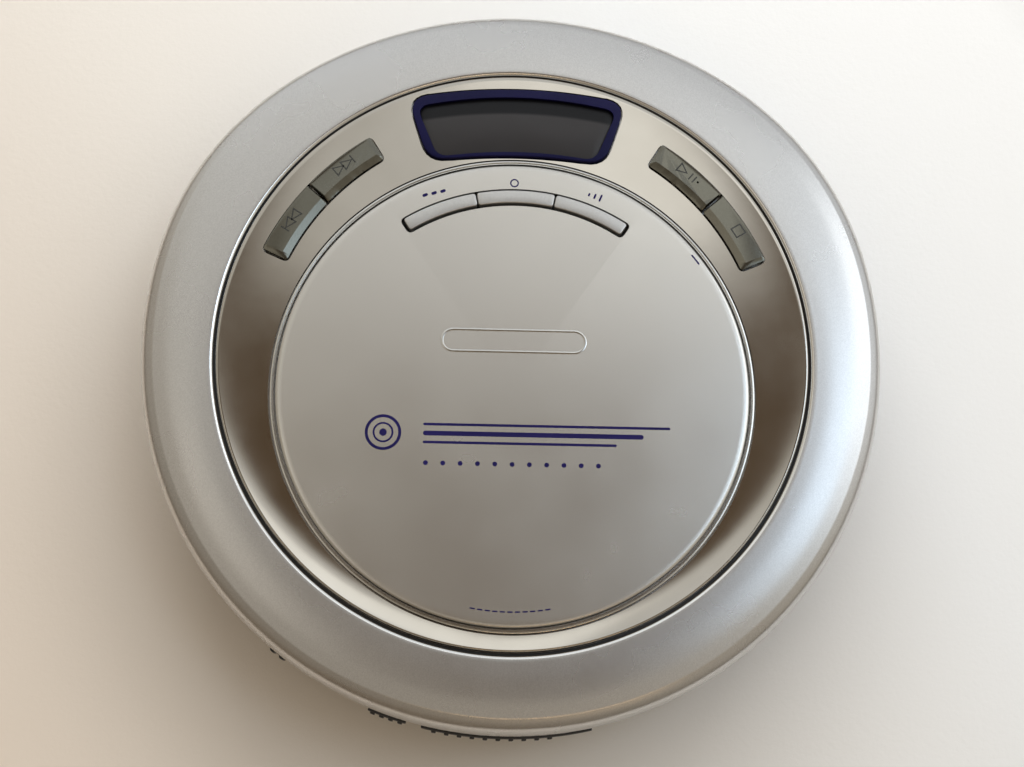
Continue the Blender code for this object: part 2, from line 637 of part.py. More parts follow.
def make_lid_shell(silver, axis):
    shell = solid(
        "lid_shell",
        loft([
            ("round", SEAT_R, LID_FLOOR), ("round", SEAT_R, TOP_Z - 0.25), ("round", SEAT_R + 0.25, TOP_Z),
            ("edge", 5.0, 29.5), ("edge", 2.9, 29.1), ("edge", 1.5, 28.2), ("edge", 0.5, 26.6),
            ("edge", 0.05, 24.6), ("edge", 0, 22.5), ("edge", 0, LID_LOW), ("edge", WALL, LID_LOW),
            ("edge", WALL, 24.4), ("edge", 4.2, 26.4), ("round", 60.5, LID_FLOOR - LID_FLOOR_T),
        ]),
        silver, axis,
    )
    for side in (-1, 1):
        low, high = sorted(side * x for x in LID_LUG)
        join(shell, block((low + 0.4, HINGE_Y, LID_LOW + 0.2), (high - 0.4, 69.0, HINGE_Z + HINGE_R - 0.2)))
        join(shell, hinge_axis_cylinder(HINGE_R, low, high))
        cut(shell, hinge_axis_cylinder(PIN_R + GAP, low - 1, high + 1))
    for inner, outer, start, stop, flip in stems():
        plan = sector(inner - 0.5, outer + 0.5, start - 0.6, stop + 0.6, KEY_Y, 3)
        cut(shell, prism(mirrored(plan) if flip else plan, 25, 29))
    for start, stop in zip(BUTTON_ENDS, BUTTON_ENDS[1:]):
        cut(shell, prism(sector(BUTTON_IN + 0.4, BUTTON_OUT - 0.4, start + 5, stop - 5, PANEL_Y, 3), 25, 29))
    cut(shell, block((-15.5, 41.0, 25), (15.5, 49.0, 29)))


def stems():
    """Plan of each key's stem: inner and outer radius, ends in degrees, and whether it is on the left."""
    middle_low, middle_high = (KEY_FROM + KEY_SPLIT) / 2, (KEY_SPLIT + KEY_TO) / 2
    for flip in (False, True):
        for middle in (middle_low, middle_high):
            yield KEY_IN + 1.4, KEY_OUT - 1.4, middle - 4.5, middle + 4.5, flip


def make_ring_and_panel(chrome, satin, axis):
    """The polished ring, wide at the rear, and the middle panel with its stepped bezel."""
    inner = BEZEL_R + GAP
    between = (RING_R + inner) / 2
    low = LID_FLOOR + GAP
    ring = solid(
        "chrome_ring",
        loft([
            ("round", RING_R, low), ("round", RING_R, 29.8), ("round", RING_R - 0.6, 30.15),
            ("round", between, 29.5, PANEL_Y / 2), ("round", inner, 29.2, PANEL_Y),
            ("round", inner, low, PANEL_Y),
        ], closed=True),
        chrome, axis,
    )
    cut(ring, prism(display_outline(-0.3, -0.3, -0.3, 2.2), 26, 32))
    for flip in (False, True):
        plan = key_plan(KEY_IN - GAP, KEY_OUT + GAP, KEY_FROM - 0.4, KEY_TO + 0.4, KEY_Y, 1.2, 8)
        cut(ring, prism(mirrored(plan) if flip else plan, 26, 32))
    bezel = [
        (PANEL_R + GAP, low), (BEZEL_R, low), (BEZEL_R, 29.6), (BEZEL_R - 0.25, 29.85),
        (PANEL_R + GAP, 29.85),
    ]
    solid("disc_bezel", turned(bezel, AROUND, 0, PANEL_Y), chrome, axis)
    panel = [(0, low), (PANEL_R, low), (PANEL_R, 29.85), (PANEL_R - 0.5, 30.2), (0, 30.2)]
    panel = solid("disc_panel", turned(panel, AROUND, 0, PANEL_Y), satin, axis)
    ends = BUTTON_ENDS[0] - 0.5, BUTTON_ENDS[-1] + 0.5
    cut(panel, prism(key_plan(BUTTON_IN - GAP, BUTTON_OUT + GAP, *ends, PANEL_Y, 1.0, 14), 26, 32))


def make_display(indigo, smoke, glass, axis):
    frame = solid("display_frame", prism(display_outline(0, 0, 0, 2.0), LID_FLOOR + GAP, 30.25), indigo, axis)
    cut(frame, prism(display_outline(2.1, 1.6, 0.8, 1.4), 26, 32))
    solid("display_window", prism(display_outline(2.4, 1.9, 1.1, 1.3), 29.0, 29.6), smoke, axis)
    solid("lcd_panel", block((-15.0, 41.4, 25.6), (15.0, 48.6, 28.5)), glass, axis)


def make_keys(olive, silver, lid_axis):
    """Four faceted keys and three small buttons. Each has a stem that reaches the key board."""
    names = {
        (False, 0): "stop_key",
        (False, 1): "play_pause_key",
        (True, 0): "skip_back_key",
        (True, 1): "skip_forward_key",
    }
    bounds = ((KEY_FROM, KEY_SPLIT - 0.22), (KEY_SPLIT + 0.22, KEY_TO))
    plans = list(stems())
    for (flip, row), name in names.items():
        start, stop = bounds[row]
        plan = key_plan(KEY_IN, KEY_OUT, start, stop, KEY_Y)
        top = prism(mirrored(plan) if flip else plan, KEY_LOW, KEY_TOP)
        key = solid(name, top, olive, key_axis(name, plan, flip, lid_axis))
        inner, outer, a, b, _ = plans[(2 if flip else 0) + row]
        stem = sector(inner, outer, a, b, KEY_Y, 3)
        join(key, prism(mirrored(stem) if flip else stem, STEM_LOW, STEM_TOP))
        cut(key, facet(KEY_IN, KEY_IN + 1.6, start - 2, stop + 2, flip))
    small = ("sound_button", "enter_button", "mode_button")
    for name, start, stop in zip(small, BUTTON_ENDS, BUTTON_ENDS[1:]):
        plan = key_plan(BUTTON_IN, BUTTON_OUT, start + 0.2, stop - 0.2, PANEL_Y, 0.7, 6)
        top = prism(plan, KEY_LOW, BUTTON_TOP)
        button = solid(name, top, silver, key_axis(name, plan, False, lid_axis))
        stem = sector(BUTTON_IN + 0.8, BUTTON_OUT - 0.8, start + 6, stop - 6, PANEL_Y, 3)
        join(button, prism(stem, STEM_LOW, STEM_TOP))


def key_axis(name, plan, flip, lid_axis):
    x = sum(p[0] for p in plan) / len(plan) * (-1 if flip else 1)
    y = sum(p[1] for p in plan) / len(plan)
    return axis_point(name + "_axis", x, y, 29.0, lid_axis)


def facet(inner, outer, start, stop, flip):
    """A wedge that takes the sloping facet off a key's inner edge."""
    bm = bmesh.new()
    reach, z_low, z_high = inner - 0.6, KEY_TOP - 0.98, KEY_TOP + 0.05
    rows = []
    for i in range(9):
        a = math.radians(start + (stop - start) * i / 8)
        sign = -1 if flip else 1
        corners = ((reach, z_low), (outer, z_high), (outer, z_high + 1), (reach, z_high + 1))
        x, y = sign * math.cos(a), math.sin(a)
        rows.append([bm.verts.new((x * r, KEY_Y + y * r, z)) for r, z in corners])
    for low, high in zip(rows, rows[1:]):
        for k in range(4):
            m = (k + 1) % 4
            bm.faces.new((low[k], low[m], high[m], high[k]))
    bm.faces.new(rows[0])
    bm.faces.new(rows[-1])
    return bm


def make_lid_inside(dark, green, felt, metal, axis):
    skin = loft([("edge", 2.1, COVER_LOW + COVER_T), ("edge", 2.1, COVER_LOW), ("round", 8, COVER_LOW)])
    cover = solid("lid_cover", skin, dark, axis)
    cut(cover, block((-30, 62.2, 20), (30, 75, 25)))
    plan = rounded([(50, 22), (30, 51.5), (-30, 51.5), (-50, 22), (-38, 12), (38, 12)], 5)
    solid("key_board", prism(plan, BOARD_LOW, BOARD_LOW + BOARD_T), green, axis)
    inner, outer, low, high = HUB_R + 1.2, 12.0, COVER_LOW - 1.2, COVER_LOW - GAP
    pad = [(inner, low), (outer, low), (outer, high), (inner, high)]
    solid("disc_stop_ring", turned(pad, 24), felt, axis)
    hook = solid("latch_hook", block((-2.4, -66.2, 16.8), (2.4, -64.8, COVER_LOW - GAP)), metal, axis)
    join(hook, block((-2.4, -67.0, 16.8), (2.4, -64.8, 17.8)))


def make_hinge_pins(metal):
    for side, name in ((-1, "left"), (1, "right")):
        low, high = sorted((side * (BASE_LUG[0] - 0.2), side * (LID_LUG[1] + 0.2)))
        solid(f"hinge_pin_{name}", hinge_axis_cylinder(PIN_R, low, high), metal)


def main():
    clear_scene()
    silver = finish("satin_silver_paint", (0.62, 0.63, 0.66), 0.32, 0.85)
    satin = finish("satin_aluminium", (0.66, 0.66, 0.65), 0.36, 0.9)
    chrome = finish("polished_ring", (0.62, 0.60, 0.55), 0.12, 1.0)
    olive = finish("key_metal", (0.42, 0.42, 0.38), 0.3, 0.8)
    indigo = finish("indigo_frame", (0.06, 0.05, 0.30), 0.2, 0.0)
    smoke = finish("smoked_window", (0.12, 0.12, 0.15), 0.1, 0.0)
    dark = finish("dark_plastic", (0.08, 0.08, 0.085), 0.45, 0.0)
    black = finish("black_plastic", (0.03, 0.03, 0.03), 0.4, 0.0)
    white = finish("white_plastic", (0.75, 0.74, 0.70), 0.4, 0.0)
    rubber = finish("rubber", (0.05, 0.05, 0.05), 0.8, 0.0)
    metal = finish("plated_steel", (0.6, 0.6, 0.6), 0.3, 1.0)
    green = finish("circuit_board", (0.05, 0.22, 0.10), 0.5, 0.0)
    glass = finish("lens_glass", (0.25, 0.3, 0.4), 0.05, 0.0)
    felt = finish("felt", (0.10, 0.10, 0.11), 0.95, 0.0)

    make_lower_case(dark, rubber, metal)
    make_deck(dark)
    make_battery_bay(dark, metal)
    make_sockets(dark, metal)
    make_sliders(dark)
    make_volume(dark, metal)
    make_lid_switch(dark)
    make_board(green)
    make_chassis(metal, rubber)
    make_turntable(dark, metal)
    make_pickup(black, glass, metal)
    make_feed(metal, white, black)

    lid = axis_point("lid_axis", 0, HINGE_Y, HINGE_Z)
    make_lid_shell(silver, lid)
    make_ring_and_panel(chrome, satin, lid)
    make_display(indigo, smoke, glass, lid)
    make_keys(olive, silver, lid)
    make_lid_inside(dark, green, felt, metal, lid)
    make_hinge_pins(metal)


main()
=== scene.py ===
"""Looks of the portable CD player: fine meshes, materials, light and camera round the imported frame.

The frame is in metres. Shapes here are written in millimetres in the same frame and turned into metres
in raw_object(): +Z is up, -Y is the front, and the spindle axis is x = y = 0.
"""

import math

import bmesh
import bpy
from mathutils import Matrix, Vector


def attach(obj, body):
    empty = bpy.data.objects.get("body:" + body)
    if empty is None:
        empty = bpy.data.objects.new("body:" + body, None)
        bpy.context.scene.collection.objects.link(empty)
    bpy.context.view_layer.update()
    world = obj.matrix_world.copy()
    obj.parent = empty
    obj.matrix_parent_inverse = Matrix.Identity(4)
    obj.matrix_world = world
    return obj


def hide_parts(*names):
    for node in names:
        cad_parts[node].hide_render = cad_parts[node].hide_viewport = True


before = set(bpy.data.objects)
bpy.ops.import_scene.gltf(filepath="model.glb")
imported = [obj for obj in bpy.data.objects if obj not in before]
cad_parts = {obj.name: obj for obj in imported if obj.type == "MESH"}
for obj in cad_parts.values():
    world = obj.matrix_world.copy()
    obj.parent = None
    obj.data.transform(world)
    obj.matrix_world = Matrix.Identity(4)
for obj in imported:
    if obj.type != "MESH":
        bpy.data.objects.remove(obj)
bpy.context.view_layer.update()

MM = 0.001

# ---- the CAD model's plan, in mm and degrees ----
BODY_R = 70.2
SHOULDER, SHOULDER_AT, SHOULDER_WIDE = 1.8, 33.0, 27.0
PANEL_Y = -6.9
KEY_Y = -1.5
TOP_Z = 30.0
PANEL_TOP = 30.2
LID_UNDER, LID_FLOOR = 26.4, 27.6
CREASE = 3.0  # inset of the crease between the lid's top and its side band
HINGE_Y, HINGE_Z = 65.6, 20.6
FINE = 540  # segments round the plan


# ---- node materials ----
class Nodes:
    """Short words for building the node tree of a material or a world."""

    def __init__(self, owner, shader="Principled BSDF", place="Object"):
        owner.use_nodes = True
        self.owner, self.tree = owner, owner.node_tree
        self.shader = self.tree.nodes[shader]
        self.place = self.add("ShaderNodeTexCoord", {}, place)

    def add(self, kind, inputs, output, **values):
        """Adds a node and gives one output; an input is a number, a colour or the socket that feeds it."""
        node = self.tree.nodes.new(kind)
        for key, value in values.items():
            setattr(node, key, value)
        for key, value in inputs.items():
            if isinstance(value, bpy.types.NodeSocket):
                self.tree.links.new(value, node.inputs[key])
            else:
                node.inputs[key].default_value = value
        return node.outputs[output]

    def set(self, **values):
        for key, value in values.items():
            self.shader.inputs[key.replace("_", " ")].default_value = value

    def noise(self, scale, detail=2.0, roughness=0.5, where=None):
        inputs = {"Scale": scale, "Detail": detail, "Roughness": roughness, "Vector": where or self.place}
        return self.add("ShaderNodeTexNoise", inputs, "Fac")

    def ramp(self, value, stops):
        made = self.add("ShaderNodeValToRGB", {"Fac": value}, "Color")
        elements = made.node.color_ramp.elements
        while len(elements) < len(stops):
            elements.new(0.5)
        for element, (position, colour) in zip(elements, stops):
            element.position = position
            element.color = (*colour, 1.0)
        return made

    def spread(self, value, low, high):
        """Turns a 0 to 1 value into a range."""
        return self.add("ShaderNodeMapRange", {"Value": value, "To Min": low, "To Max": high}, "Result")

    def share(self, value, low, high, kind="LINEAR"):
        """Turns a range into a 0 to 1 value."""
        inputs = {"Value": value, "From Min": low, "From Max": high}
        return self.add("ShaderNodeMapRange", inputs, "Result", interpolation_type=kind)

    def vector(self, operation, output, first, second=(0.0, 0.0, 0.0)):
        return self.add("ShaderNodeVectorMath", {0: first, 1: second}, output, operation=operation)

    def largest(self, one, two):
        return self.add("ShaderNodeMath", {0: one, 1: two}, "Value", operation="MAXIMUM")

    def mixed(self, share, one, two):
        """A colour on the way from one to another."""
        return self.add("ShaderNodeMix", {"Factor": share, "A": one, "B": two}, "Result", data_type="RGBA")

    def bump(self, value, distance, strength):
        inputs = {"Height": value, "Distance": distance, "Strength": strength}
        return self.add("ShaderNodeBump", inputs, "Normal")

    def done(self, colour, roughness, normal=None):
        for source, target in ((colour, "Base Color"), (roughness, "Roughness"), (normal, "Normal")):
            if source:
                self.tree.links.new(source, self.shader.inputs[target])
        return self.owner


FINISHES = {}  # every material by its name, which for most is also the name of a slot


def material_nodes(name):
    FINISHES[name] = bpy.data.materials.new(name)
    return Nodes(FINISHES[name])


def metallic_paint(name, dark, light, roughness, metallic=0.8, flake=7500.0, coat=0.2):
    """Satin paint with fine metal flakes: each flake has its own brightness and a slight tilt."""
    made = material_nodes(name)
    cells = made.add("ShaderNodeTexVoronoi", {"Scale": flake, "Vector": made.place}, "Color")
    grey = made.add("ShaderNodeRGBToBW", {"Color": cells}, "Val")
    made.set(Metallic=metallic, Coat_Weight=coat, Coat_Roughness=0.18)
    worn = made.spread(made.noise(60.0, 3.0), roughness - 0.03, roughness + 0.05)
    return made.done(made.ramp(grey, [(0.0, dark), (1.0, light)]), worn, made.bump(grey, 0.000006, 0.06))


def polished(name, dark, light, roughness):
    """Polished plating with a faint haze and a slight orange-peel."""
    made = material_nodes(name)
    colour = made.ramp(made.noise(45.0, 3.0, 0.6), [(0.3, dark), (0.7, light)])
    haze = made.spread(made.noise(120.0, 4.0, 0.65), roughness, roughness + 0.06)
    made.set(Metallic=1.0)
    return made.done(colour, haze, made.bump(made.noise(420.0, 1.0), 0.00001, 0.1))


def moulded(name, dark, light, roughness, grain=1900.0, depth=0.00003, strength=0.35):
    """Injection-moulded plastic with a fine spark-eroded grain and faint rub marks."""
    made = material_nodes(name)
    colour = made.ramp(made.noise(70.0, 4.0, 0.6), [(0.3, dark), (0.75, light)])
    rub = made.spread(made.noise(160.0, 5.0, 0.7), roughness - 0.07, roughness + 0.08)
    return made.done(colour, rub, made.bump(made.noise(grain, 2.0), depth, strength))


def gloss(name, dark, light, roughness, coat=0.0, specular=0.5):
    """Glossy moulded or printed surface with faint dust and fine scratches."""
    made = material_nodes(name)
    colour = made.ramp(made.noise(90.0, 3.0), [(0.35, dark), (0.7, light)])
    inputs = {"Scale": (2200.0, 90.0, 400.0), "Vector": made.place}
    scratch = made.noise(1.0, 3.0, 0.6, made.add("ShaderNodeMapping", inputs, "Vector"))
    made.set(Coat_Weight=coat, Coat_Roughness=0.05, Specular_IOR_Level=specular)
    rough = made.spread(scratch, roughness, roughness + 0.07)
    return made.done(colour, rough, made.bump(scratch, 0.000004, 0.08))


def steel(name, dark, light, roughness):
    """Plated or turned metal with small stains."""
    made = material_nodes(name)
    stains = made.noise(260.0, 5.0, 0.65)
    made.set(Metallic=1.0)
    colour = made.ramp(stains, [(0.3, dark), (0.7, light)])
    return made.done(colour, made.spread(stains, roughness - 0.06, roughness + 0.1))


def board_finish():
    """Green solder mask with lighter tracks."""
    made = material_nodes("circuit_board")
    greens = {"Color1": (0.02, 0.14, 0.06, 1.0), "Color2": (0.03, 0.19, 0.08, 1.0)}
    greens["Mortar"] = (0.07, 0.3, 0.13, 1.0)
    tracks = made.add("ShaderNodeTexBrick", {"Vector": made.place, "Scale": 420.0, **greens}, "Color")
    made.set(Coat_Weight=0.4)
    return made.done(tracks, made.spread(made.noise(200.0), 0.3, 0.45))


def felt_finish():
    made = material_nodes("felt")
    fibres = made.noise(2600.0, 6.0, 0.8)
    made.set(Sheen_Weight=0.4)
    colour = made.ramp(fibres, [(0.3, (0.03, 0.03, 0.035)), (0.7, (0.1, 0.1, 0.11))])
    return made.done(colour, made.spread(fibres, 0.85, 0.98), made.bump(fibres, 0.0002, 0.6))


def smoked_finish():
    """A smoked window over a display: grey, with a painted shadow of its frame along the bowed top edge."""
    made = material_nodes("smoked_window")
    reach = made.vector("DISTANCE", "Value", made.place, (0.0, -43.6 * MM, 29.6 * MM))
    # Painted shadow: near black farther than 92 mm from a point below the window, a bowed band along its top
    # edge.
    shade = made.share(reach, 91.5 * MM, 92.3 * MM, "SMOOTHSTEP")
    clouds = made.ramp(made.noise(60.0, 3.0), [(0.3, (0.031, 0.029, 0.03)), (0.7, (0.036, 0.034, 0.035))])
    made.set(Specular_IOR_Level=0.25)
    colour = made.mixed(shade, clouds, (0.004, 0.004, 0.005, 1.0))
    return made.done(colour, made.spread(made.noise(150.0, 4.0, 0.6), 0.26, 0.36))


SILVER = metallic_paint("silver_paint", (0.55, 0.54, 0.527), (0.67, 0.66, 0.645), 0.27, 0.93)
SATIN = metallic_paint("satin_panel", (0.63, 0.61, 0.57), (0.67, 0.65, 0.61), 0.25, 0.92, 9500.0, 0.0)
BEZEL = polished("bezel_metal", (0.62, 0.61, 0.58), (0.74, 0.73, 0.7), 0.16)
CHROME = polished("polished_ring", (0.5, 0.468, 0.415), (0.56, 0.528, 0.475), 0.07)
EDGE = polished("cut_edge", (0.82, 0.82, 0.8), (0.92, 0.92, 0.9), 0.12)
OLIVE = metallic_paint("key_metal", (0.125, 0.12, 0.092), (0.165, 0.16, 0.13), 0.15, 0.85, 9000.0, 0.6)
BUTTON = metallic_paint("button_silver", (0.5, 0.495, 0.48), (0.62, 0.615, 0.6), 0.34, 0.8, 9000.0)
INDIGO = gloss("indigo_frame", (0.005, 0.005, 0.034), (0.008, 0.007, 0.048), 0.3, 0.0, 0.12)
INK = gloss("indigo_ink", (0.01, 0.007, 0.07), (0.015, 0.01, 0.095), 0.45, 0.0, 0.15)
MARK = gloss("key_mark", (0.02, 0.02, 0.018), (0.04, 0.04, 0.035), 0.4)
SMOKE = smoked_finish()
CASE = moulded("dark_plastic", (0.03, 0.03, 0.032), (0.05, 0.05, 0.053), 0.42)
INNER = moulded("well_plastic", (0.04, 0.041, 0.045), (0.062, 0.063, 0.068), 0.5, 2600.0)
CONTROL = moulded("control_plastic", (0.028, 0.028, 0.03), (0.045, 0.045, 0.048), 0.38, 2400.0, 0.00002)
SOCKET = moulded("socket_plastic", (0.012, 0.012, 0.012), (0.022, 0.022, 0.022), 0.35)
BLACK = moulded("black_plastic", (0.01, 0.01, 0.011), (0.02, 0.02, 0.021), 0.4)
RUBBER = moulded("rubber", (0.018, 0.018, 0.018), (0.035, 0.034, 0.033), 0.8, 3000.0, 0.00006, 0.5)
STEEL = steel("plated_steel", (0.48, 0.48, 0.48), (0.66, 0.66, 0.67), 0.28)
BRASS = steel("brass", (0.55, 0.4, 0.14), (0.72, 0.55, 0.24), 0.22)
LENS = gloss("lens_glass", (0.05, 0.08, 0.22), (0.08, 0.13, 0.32), 0.03, 1.0)
FELT = felt_finish()
# Three more are only for CAD nodes, which find them by name.
gloss("display_glass", (0.036, 0.034, 0.036), (0.046, 0.044, 0.046), 0.3)
moulded("gear_plastic", (0.6, 0.58, 0.52), (0.72, 0.7, 0.64), 0.42, 1500.0, 0.00002, 0.15)
board_finish()


def slot_name(material):
    """A material's name without the number that Blender adds to a name in use."""
    return material.name.split(".")[0]


# ---- plans, all in mm ----
def polar(radius, degrees, centre_y=0.0):
    """The plan point at a radius and an angle about (0, centre_y)."""
    turn = math.radians(degrees)
    return radius * math.cos(turn), centre_y + radius * math.sin(turn)


def arc(radius, first, last, count, centre_y=0.0):
    """Points on a circle about (0, centre_y), from one angle to another."""
    return [polar(radius, first + (last - first) * i / count, centre_y) for i in range(count + 1)]


def circle(radius, count, centre_y=0.0):
    turns = [math.tau * i / count for i in range(count)]
    return [(radius * math.cos(turn), centre_y + radius * math.sin(turn)) for turn in turns]


def sector(inner, outer, start, stop, centre_y, count=24):
    return arc(outer, start, stop, count, centre_y) + arc(inner, stop, start, count, centre_y)


def oblong(x, y):
    """A rectangle, from its two ends in x and in y."""
    return [(x[0], y[0]), (x[1], y[0]), (x[1], y[1]), (x[0], y[1])]


def mirrored(plan):
    return [(-x, y) for x, y in reversed(plan)]


def placed(plan, x=0.0, y=0.0, turn=0.0, size=1.0):
    """A plan scaled, turned and moved."""
    c, s = polar(1.0, turn)
    return [(x + size * (px * c - py * s), y + size * (px * s + py * c)) for px, py in plan]


def pill(x, y, length, width, turn=0.0):
    """A bar with round ends."""
    half = (length - width) / 2
    right = [(half + px, py) for px, py in arc(width / 2, -90, 90, 12)]
    left = [(-half + px, py) for px, py in arc(width / 2, 90, 270, 12)]
    return placed(right + left, x, y, turn)


def softened(plan, radius, steps=6):
    """Rounds the corners of a plan that turn by 40 degrees or more and keeps its curved runs."""
    kept = []
    for i, point in enumerate(plan):
        here = Vector(point)
        back, ahead = Vector(plan[i - 1]) - here, Vector(plan[(i + 1) % len(plan)]) - here
        if min(back.length, ahead.length) >= 1e-6:
            kept.append((here, back.angle(-ahead) >= math.radians(40)))
    corners = [point for point, sharp in kept if sharp]
    made = []
    for i, (here, sharp) in enumerate(kept):
        if sharp:
            back, ahead = ((kept[j % len(kept)][0] - here).normalized() * radius for j in (i - 1, i + 1))
            made += [here + back * (1 - k / steps) ** 2 + ahead * (k / steps) ** 2 for k in range(steps + 1)]
        elif all((here - corner).length > radius for corner in corners):
            made.append(here)
    return [(point.x, point.y) for point in made]


def outline_r(turn):
    """Plan radius of the casing at an angle in radians: a circle with two rear shoulders."""
    lift = 0.0
    for centre in (SHOULDER_AT, 180 - SHOULDER_AT):
        off = (math.degrees(turn) % 360 - centre + 180) % 360 - 180
        lift += math.exp(-((off / SHOULDER_WIDE) ** 2))
    return BODY_R + SHOULDER * lift


def edge_point(inset, turn):
    radius = outline_r(turn) - inset
    return radius * math.cos(turn), radius * math.sin(turn)


# ---- loops and meshes, all in mm ----
def edges(*rows):
    """Loops that follow the casing's plan, each from its inset and height."""
    turns = [math.tau * i / FINE for i in range(FINE)]
    return [[(*edge_point(inset, turn), z) for turn in turns] for inset, z in rows]


def rounds(*rows, centre_y=0.0):
    """Round loops, each from its radius and height."""
    return [[(x, y, z) for x, y in circle(radius, FINE, centre_y)] for radius, z in rows]


def eased(loops, steps=4):
    """Rounds a run of loops into a smooth section (Catmull-Rom through every loop)."""
    made = []
    for i in range(len(loops) - 1):
        rows = [loops[max(i - 1, 0)], loops[i], loops[i + 1], loops[min(i + 2, len(loops) - 1)]]
        for k in range(steps):
            t = k / steps
            weights = (
                -0.5 * t + t * t - 0.5 * t**3,
                1 - 2.5 * t * t + 1.5 * t**3,
                0.5 * t + 2 * t * t - 1.5 * t**3,
                -0.5 * t * t + 0.5 * t**3,
            )
            loop = []
            for points in zip(*rows):
                loop.append([sum(w * p[axis] for w, p in zip(weights, points)) for axis in range(3)])
            made.append(loop)
    return made + [loops[-1]]


def skin(loops, closed=False, capped=False):
    """Joins loops of equal length into a mesh; closed also joins the last loop to the first."""
    bm = bmesh.new()
    rows = [[bm.verts.new(point) for point in loop] for loop in loops]
    pairs = list(zip(rows, rows[1:]))
    if closed:
        pairs.append((rows[-1], rows[0]))
    count = len(rows[0])
    for low, high in pairs:
        for i in range(count):
            j = (i + 1) % count
            bm.faces.new((low[i], low[j], high[j], high[i]))
    if capped:
        bm.faces.new(rows[0][::-1])
        bm.faces.new(rows[-1])
    return bm


def turned(profile, count, centre=(0.0, 0.0), closed=False):
    """Revolves (radius, z) points about a vertical axis."""
    loops = []
    for radius, z in profile:
        plan = circle(max(radius, 0.001), count, centre[1])
        loops.append([(centre[0] + x, y, z) for x, y in plan])
    return skin(loops, closed)


def drum(radius, low, high, count, centre=(0.0, 0.0)):
    """An upright cylinder."""
    return turned([(0, low), (radius, low), (radius, high), (0, high)], count, centre)


def hoop(inner, outer, low, high, count, centre=(0.0, 0.0)):
    """An upright tube."""
    return turned([(inner, low), (outer, low), (outer, high), (inner, high)], count, centre, True)


def prism(plan, low, high):
    """A straight-sided block with the given plan."""
    bm = bmesh.new()
    base = bm.faces.new([bm.verts.new((x, y, low)) for x, y in plan])
    for item in bmesh.ops.extrude_face_region(bm, geom=[base])["geom"]:
        if isinstance(item, bmesh.types.BMVert):
            item.co.z = high
    return bm


def block(x, y, z):
    return prism(oblong(x, y), *z)


def rod(radius, start, end, count):
    """A round rod between two points."""
    start, end = Vector(start), Vector(end)
    turn = (end - start).to_track_quat("Z", "Y").to_matrix().to_4x4()
    place = Matrix.Translation((start + end) / 2) @ turn
    bm = bmesh.new()
    bmesh.ops.create_cone(
        bm, cap_ends=True, segments=count, radius1=radius, radius2=radius, matrix=place,
        depth=(end - start).length
    )
    return bm


def along_x(radius, start, stop, y, z, count=48):
    return rod(radius, (start, y, z), (stop, y, z), count)


def spoke(radius, start, stop, degrees, z, count=48):
    """A rod along a plan radius."""
    return rod(radius, (*polar(start, degrees), z), (*polar(stop, degrees), z), count)


def edge_band(out, into, start, stop, low, high, steps=32):
    """A strip along the casing's edge, between two insets."""
    turns = [math.radians(start + (stop - start) * i / steps) for i in range(steps + 1)]
    plan = [edge_point(out, turn) for turn in turns] + [edge_point(into, turn) for turn in reversed(turns)]
    return prism(plan, low, high)


def ribbon(points, width, low, high, closed=True):
    """A raised or sunk line of even width along plan points, as a solid band."""
    loops = []
    last = len(points) - 1
    for i, point in enumerate(points):
        here = Vector(point)
        before = Vector(points[i - 1]) if closed or i else here
        after = Vector(points[(i + 1) % len(points)]) if closed or i < last else here
        back = (here - before).normalized()
        ahead = (back + (after - here).normalized()).normalized()
        corner = max(back.dot(ahead), 0.55) if back.length else 1.0
        side = Vector((-ahead.y, ahead.x)) * width / 2 / corner
        left, right = (here + side)[:], (here - side)[:]
        loops.append([(*left, low), (*right, low), (*right, high), (*left, high)])
    return skin(loops, closed, not closed)


def merged(*parts):
    whole = parts[0]
    for part in parts[1:]:
        spare = bpy.data.meshes.new("spare")
        part.to_mesh(spare)
        part.free()
        whole.from_mesh(spare)
        bpy.data.meshes.remove(spare)
    return whole


def flipped(bm):
    """Mirrors a mesh from the right of the player to the left."""
    bmesh.ops.scale(bm, vec=(-1, 1, 1), verts=bm.verts)
    return bm


def bevelled(bm, width, segments=3, sharper_than=30.0):
    """Rounds every edge that is sharper than the given angle."""
    bmesh.ops.recalc_face_normals(bm, faces=bm.faces)
    limit = math.radians(sharper_than)
    sharp = [e for e in bm.edges if e.is_manifold and e.calc_face_angle(0.0) > limit]
    bmesh.ops.bevel(
        bm, geom=sharp, offset=width, segments=segments, affect="EDGES", profile=0.5, clamp_overlap=True
    )
    return bm


# ---- pieces ----
def new_object(name, data):
    obj = bpy.data.objects.new(name, data)
    bpy.context.scene.collection.objects.link(obj)
    return obj


def raw_object(name, bm):
    """An object from a mesh in mm."""
    bmesh.ops.recalc_face_normals(bm, faces=bm.faces)
    bmesh.ops.scale(bm, vec=(MM,) * 3, verts=bm.verts)
    mesh = bpy.data.meshes.new(name)
    bm.to_mesh(mesh)
    bm.free()
    return new_object(name, mesh)


def cut(obj, tools):
    """Subtracts meshes in mm from an object."""
    for index, tool in enumerate(tools):
        cutter = raw_object(f"{obj.name}-tool-{index}", tool)
        step = obj.modifiers.new("cut", "BOOLEAN")
        step.operation, step.solver, step.object = "DIFFERENCE", "EXACT", cutter
        bpy.context.view_layer.update()
        shape = bpy.data.meshes.new_from_object(obj.evaluated_get(bpy.context.evaluated_depsgraph_get()))
        obj.modifiers.remove(step)
        old, obj.data = obj.data, shape
        bpy.data.meshes.remove(old)
        bpy.data.objects.remove(cutter)


